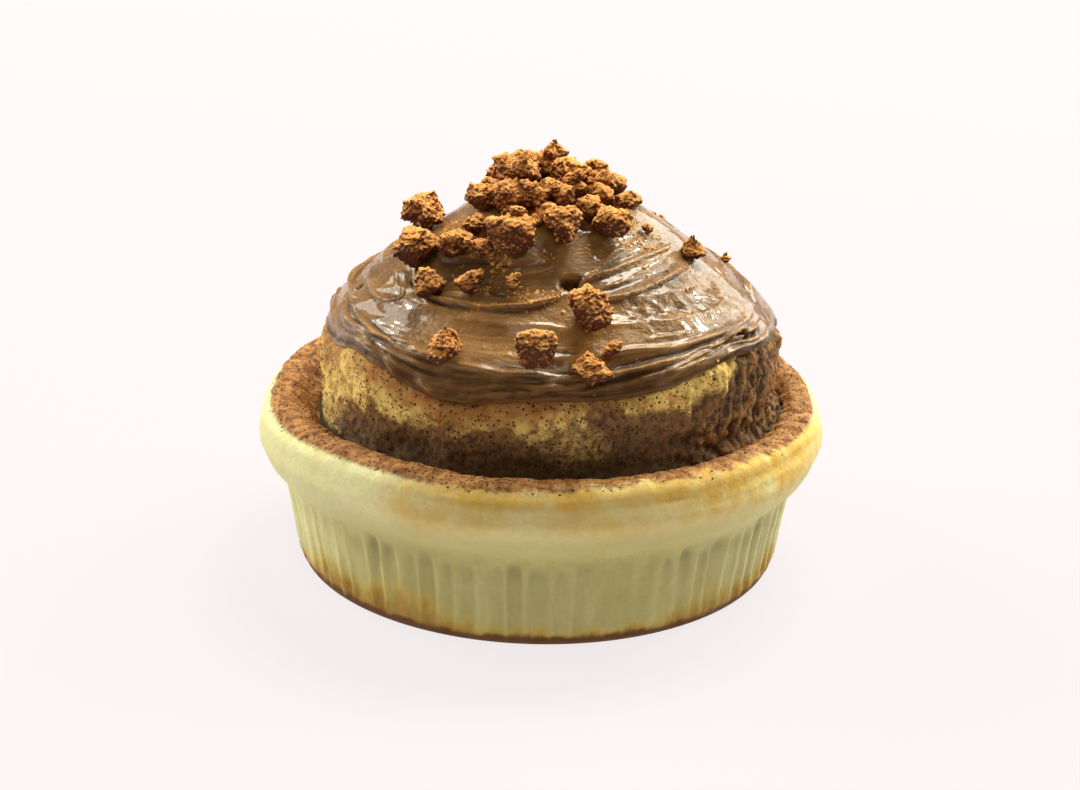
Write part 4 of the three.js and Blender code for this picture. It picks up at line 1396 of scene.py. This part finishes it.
# %% Every crumb in turn
crumb_names = sorted(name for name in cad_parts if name.startswith("crumb_"))
crumb_triangles = 0
for number, name in enumerate(crumb_names):
    low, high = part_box(name)
    size = max(high - low)
    base = remeshed(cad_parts[name], name, min(LARGEST_VOXEL, size / VOXELS_ACROSS))
    broken(base.data, 40 + number, TAPER.get(name, 0.0), STRETCH.get(name, (1.0, 1.0, 1.0)))
    crumb = crumbled(
        base, 0.42 * size, 0.34 * size, 0.15 * size, 0.34 * MM, 3.0 + number, name + "_biscuit"
    )
    settle(crumb)
    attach(crumb, "root")
    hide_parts(name)
    crumb_triangles += triangle_count(crumb)
print("crumbs", len(crumb_names), "triangles", crumb_triangles)

# %% [markdown]
# ## Small pieces that fill the heap
# Between the big crumbs lie pieces of about three to five millimetres. The outer ones are a little
# sunk in the spread, and those near the middle lie higher. Their places follow a sunflower
# spiral, which spreads points evenly over a round patch, with a little chance added. They are built
# as one mesh of separate lumps and broken by the same tree.

# %% Small heap pieces
HEAP_COUNT = 38
HEAP_RADIUS = 14.5
HEAP_AXIS = COIL_AXIS + np.array([0.8, -1.2, 0.0])
HEAP_RISE = 2.6
GOLDEN_ANGLE = 137.508
SMALLEST_PIECE = 2.7
LARGEST_PIECE = 4.6

lumps_mesh = bpy.data.meshes.new("small_pieces_base")
builder = bmesh.new()
surface_order = np.argsort(FACE_PROFILE[:, 0])
for number in range(HEAP_COUNT):
    draw = [scattered(np.array([number, part, 3.0]), 77) for part in range(6)]
    bearing = math.radians(GOLDEN_ANGLE * number + 14 * draw[0])
    share = math.sqrt((number + 0.5) / HEAP_COUNT)
    spot = HEAP_AXIS + HEAP_RADIUS * share * np.array([math.cos(bearing), math.sin(bearing), 0])
    from_axis = np.linalg.norm((spot - COIL_AXIS)[:2])
    ground = np.interp(from_axis, FACE_PROFILE[surface_order, 0], FACE_PROFILE[surface_order, 1])
    width = SMALLEST_PIECE + (LARGEST_PIECE - SMALLEST_PIECE) * draw[1]
    spot[2] = ground + 0.22 * width + HEAP_RISE * (1 - share) ** 0.7
    lump = bpy.data.meshes.new("lump")
    ball = bmesh.new()
    bmesh.ops.create_icosphere(ball, subdivisions=4, radius=width / 2 * MM)
    stretch = Matrix.Diagonal((1.0, 0.75 + 0.3 * draw[2], 0.75 + 0.3 * draw[3], 1.0))
    turned_by = Matrix.Rotation(6 * draw[4], 4, "Z") @ Matrix.Rotation(3 * draw[5], 4, "X")
    ball.transform(Matrix.Translation(Vector(spot * MM)) @ turned_by @ stretch)
    ball.to_mesh(lump)
    ball.free()
    broken(lump, 300 + number)
    builder.from_mesh(lump)
    bpy.data.meshes.remove(lump)
builder.to_mesh(lumps_mesh)
builder.free()
small_pieces = crumbled(
    new_piece("small_pieces_base", lumps_mesh),
    1.9 * MM, 1.5 * MM, 0.7 * MM, 0.32 * MM, 90.0, "small_biscuit_pieces",
)
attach(small_pieces, "root")
print("small pieces", HEAP_COUNT, "triangles", triangle_count(small_pieces))

# %% [markdown]
# ## Dust and specks
# Crushing a biscuit leaves dust, and the cinnamon on the rim has coarse burnt specks. Both are
# hundreds of tiny bodies, so a tree scatters a simple many-sided grain over a surface. How dense
# they lie comes from a number at every point. The scattered grains are made real and become one
# piece, and each grain has only twenty faces.

# %% The scatter tree
scatter_tree, given, done = new_tree(
    "scatter",
    [
        ("Density Name", "NodeSocketString"),
        ("Density", "NodeSocketFloat"),
        ("Smallest", "NodeSocketFloat"),
        ("Largest", "NodeSocketFloat"),
        ("Flatness", "NodeSocketFloat"),
        ("Seed", "NodeSocketInt"),
        ("Material", "NodeSocketMaterial"),
    ],
)
t = scatter_tree
dense = math_node(t, "MULTIPLY", kept_number(t, given["Density Name"]), given["Density"])
points = add_node(
    t,
    "GeometryNodeDistributePointsOnFaces",
    {"Mesh": given["Geometry"], "Density": dense, "Seed": given["Seed"]},
    distribute_method="RANDOM",
)
grain = add_node(t, "GeometryNodeMeshIcoSphere", {"Radius": 1.0, "Subdivisions": 1}).outputs["Mesh"]
skewed = add_node(
    t, "GeometryNodeTransform", {"Geometry": grain, "Rotation": (0.3, 0.5, 0.2), "Scale": (1.0, 0.75, 1.0)}
).outputs[0]
random_size = add_node(t, "FunctionNodeRandomValue", {"Seed": given["Seed"]}, data_type="FLOAT")
size_socket = [socket for socket in random_size.outputs if socket.enabled][0]
for socket in random_size.inputs:
    if socket.enabled and socket.type == "VALUE" and socket.name in ("Min", "Max"):
        t.links.new(given["Smallest" if socket.name == "Min" else "Largest"], socket)
thickness = math_node(t, "MULTIPLY", size_socket, given["Flatness"])
scale = add_node(
    t, "ShaderNodeCombineXYZ", {"X": size_socket, "Y": size_socket, "Z": thickness}
).outputs[0]
spin = add_node(t, "FunctionNodeRandomValue", {"Seed": given["Seed"]}, data_type="FLOAT")
spin_socket = [socket for socket in spin.outputs if socket.enabled][0]
full_turn = math_node(t, "MULTIPLY", spin_socket, 2 * math.pi)
twist = add_node(t, "ShaderNodeCombineXYZ", {"Z": full_turn}).outputs[0]
turned = add_node(
    t, "FunctionNodeRotateRotation", {0: points.outputs["Rotation"]}, rotation_space="LOCAL"
)
t.links.new(add_node(t, "FunctionNodeEulerToRotation", {0: twist}).outputs[0], turned.inputs[1])
placed = add_node(
    t,
    "GeometryNodeInstanceOnPoints",
    {"Points": points.outputs["Points"], "Instance": skewed, "Rotation": turned.outputs[0], "Scale": scale},
)
end_tree(t, placed.outputs[0], given["Material"], done)

# %% Materials of the dust and the specks
sandy_dust, tree, shader, place = new_material("biscuit_dust")
shade = between(tree, noise(tree, place, 1.5, 3), 0.35, 0.65)
sand = blend_colour(tree, shade, (0.95, 0.54, 0.145), (0.70, 0.290, 0.060))
tree.links.new(sand, shader.inputs["Base Color"])
shader.inputs["Roughness"].default_value = 0.8

burnt, tree, shader, place = new_material("burnt_cinnamon")
shade = between(tree, noise(tree, place, 0.8), 0.35, 0.65)
black = blend_colour(tree, shade, (0.030, 0.012, 0.007), (0.085, 0.032, 0.014))
tree.links.new(black, shader.inputs["Base Color"])
shader.inputs["Roughness"].default_value = 0.7

# %% Scatter the dust and the specks
SPECKS_END = (46, 50)


def number_at_points(piece, name):
    """The numbers that a piece keeps at its points under a name."""
    numbers = np.zeros(len(piece.data.vertices), np.float32)
    piece.data.attributes[name].data.foreach_get("value", numbers)
    return numbers


point_height = np.array([vertex.co.z for vertex in bun.data.vertices]) / MM
seen = number_at_points(bun, "coil") * (1 - rise(point_height, *SPECKS_END))
speck_weight = np.clip(number_at_points(bun, "cinnamon") + 0.8 * seen, 0, 1)
layer = bun.data.attributes.new("specks", "FLOAT", "POINT")
layer.data.foreach_set("value", speck_weight.astype(np.float32))

SCATTERS = [
    ("biscuit_dust", spread, "dusting", 2.4e6, 0.09, 0.26, 1.0, 7, sandy_dust, "crumb"),
    ("biscuit_grains", spread, "dusting", 4.4e5, 0.22, 0.56, 0.8, 8, sandy_dust, "crumb"),
    ("cinnamon_specks", bun, "specks", 8.0e5, 0.10, 0.28, 0.45, 9, burnt, "dough"),
]
for name, surface, weights, density, smallest, largest, flatness, seed, material, slot in SCATTERS:
    grains = run_tree(
        surface,
        scatter_tree,
        {
            "Density Name": weights,
            "Density": density,
            "Smallest": smallest * MM,
            "Largest": largest * MM,
            "Flatness": flatness,
            "Seed": seed,
            "Material": material,
        },
        name,
    )
    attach(grains, "root")
    print(name, "faces", len(grains.data.polygons))

# %% [markdown]
# ## Floor, light and camera
# The roll stands on a plain pale floor in soft studio light. The floor glows a little, so that it
# stays even and pale and still takes a soft shadow. Broad lights at the back right and back left
# give the long sheen on the spread, low ones fill the wall below them, a high one lights the tops,
# and two small ones make the hard glints. The light in front stays weak, so the middle of the
# spread looks dark and glossy. The camera looks down a little and is turned by about a degree.

# %% Floor
floor_mesh = bpy.data.meshes.new("floor")
REACH = 4.0
corners = [(-REACH, -REACH, 0), (REACH, -REACH, 0), (REACH, REACH, 0), (-REACH, REACH, 0)]
floor_mesh.from_pydata(corners, [], [(0, 1, 2, 3)])
floor = new_piece("floor", floor_mesh)
white, tree, shader, place = new_material("white_floor")
shader.inputs["Base Color"].default_value = (0.070, 0.061, 0.062, 1)
shader.inputs["Roughness"].default_value = 0.9
shader.inputs["Specular IOR Level"].default_value = 0.0
shader.inputs["Emission Color"].default_value = (1.0, 0.950, 0.958, 1)
shader.inputs["Emission Strength"].default_value = 0.84
floor.data.materials.append(white)


# %% Lights
LIGHT_DISTANCE = 2.2
LIGHT_TARGET = Vector((0, 0, 0.04))
LIGHTS = [
    ("right_light", 26, 36, (1.7, 1.1), 34.0, (1.0, 1.0, 0.84)),
    ("low_right_light", 54, 18, (1.2, 0.8), 15.0, (1.0, 1.0, 0.90)),
    ("left_light", 152, 32, (1.5, 1.0), 36.0, (1.0, 1.0, 0.90)),
    ("top_light", 66, 60, (1.1, 0.8), 62.0, (1.0, 0.99, 0.88)),
    ("front_light", 255, 54, (1.0, 0.7), 7.0, (1.0, 0.98, 0.88)),
    ("right_glint", 32, 42, (0.30, 0.20), 11.0, (1.0, 0.99, 0.84)),
    ("left_glint", 147, 38, (0.30, 0.20), 8.5, (1.0, 0.99, 0.84)),
    ("low_left_light", 166, 14, (1.0, 0.7), 8.0, (1.0, 1.0, 0.90)),
]


def area_light(name, azimuth, elevation, size, watts, colour):
    """A rectangular light, (width, height) in metres, that looks at the roll."""
    data = bpy.data.lights.new(name, "AREA")
    data.shape = "RECTANGLE"
    data.size = size[0]
    data.size_y = size[1]
    data.energy = watts
    data.color = colour
    light = new_piece(name, data)
    bearing = math.radians(azimuth)
    flat = math.cos(math.radians(elevation)) * LIGHT_DISTANCE
    height = math.sin(math.radians(elevation)) * LIGHT_DISTANCE
    away = Vector((flat * math.cos(bearing), flat * math.sin(bearing), height))
    light.location = LIGHT_TARGET + away
    light.rotation_euler = (LIGHT_TARGET - light.location).to_track_quat("-Z", "Y").to_euler()


for light in LIGHTS:
    area_light(*light)
print("lights", len(LIGHTS))

world = bpy.data.worlds.new("studio")
world.use_nodes = True
world.node_tree.nodes["Background"].inputs["Color"].default_value = (1.0, 0.95, 0.85, 1)
world.node_tree.nodes["Background"].inputs["Strength"].default_value = 0.07
bpy.context.scene.world = world

# %% Camera
ELEVATION = math.radians(21.23)
ROLL = math.radians(1.36)
CAMERA_DISTANCE = 0.400
LENS = 68.4
LOOKS_LEFT_BY = 0.02
LOOKS_AT_HEIGHT = 30.47
centre = Vector((BASE_AXIS[0] - LOOKS_LEFT_BY, BASE_AXIS[1], LOOKS_AT_HEIGHT)) * MM
camera_data = bpy.data.cameras.new("camera")
camera_data.lens = LENS
camera_data.sensor_width = 36.0
camera = new_piece("camera", camera_data)
back = Vector((0, -math.cos(ELEVATION), math.sin(ELEVATION)))
right = Vector((1, 0, 0))
up = back.cross(right)
tilted_right = math.cos(ROLL) * right + math.sin(ROLL) * up
tilted_up = -math.sin(ROLL) * right + math.cos(ROLL) * up
turn_matrix = Matrix((tilted_right, tilted_up, back)).transposed()
camera.matrix_world = Matrix.Translation(centre + back * CAMERA_DISTANCE) @ turn_matrix.to_4x4()
bpy.context.scene.camera = camera
bpy.context.scene.view_settings.view_transform = "Standard"
print("camera at", [round(value, 4) for value in camera.location])
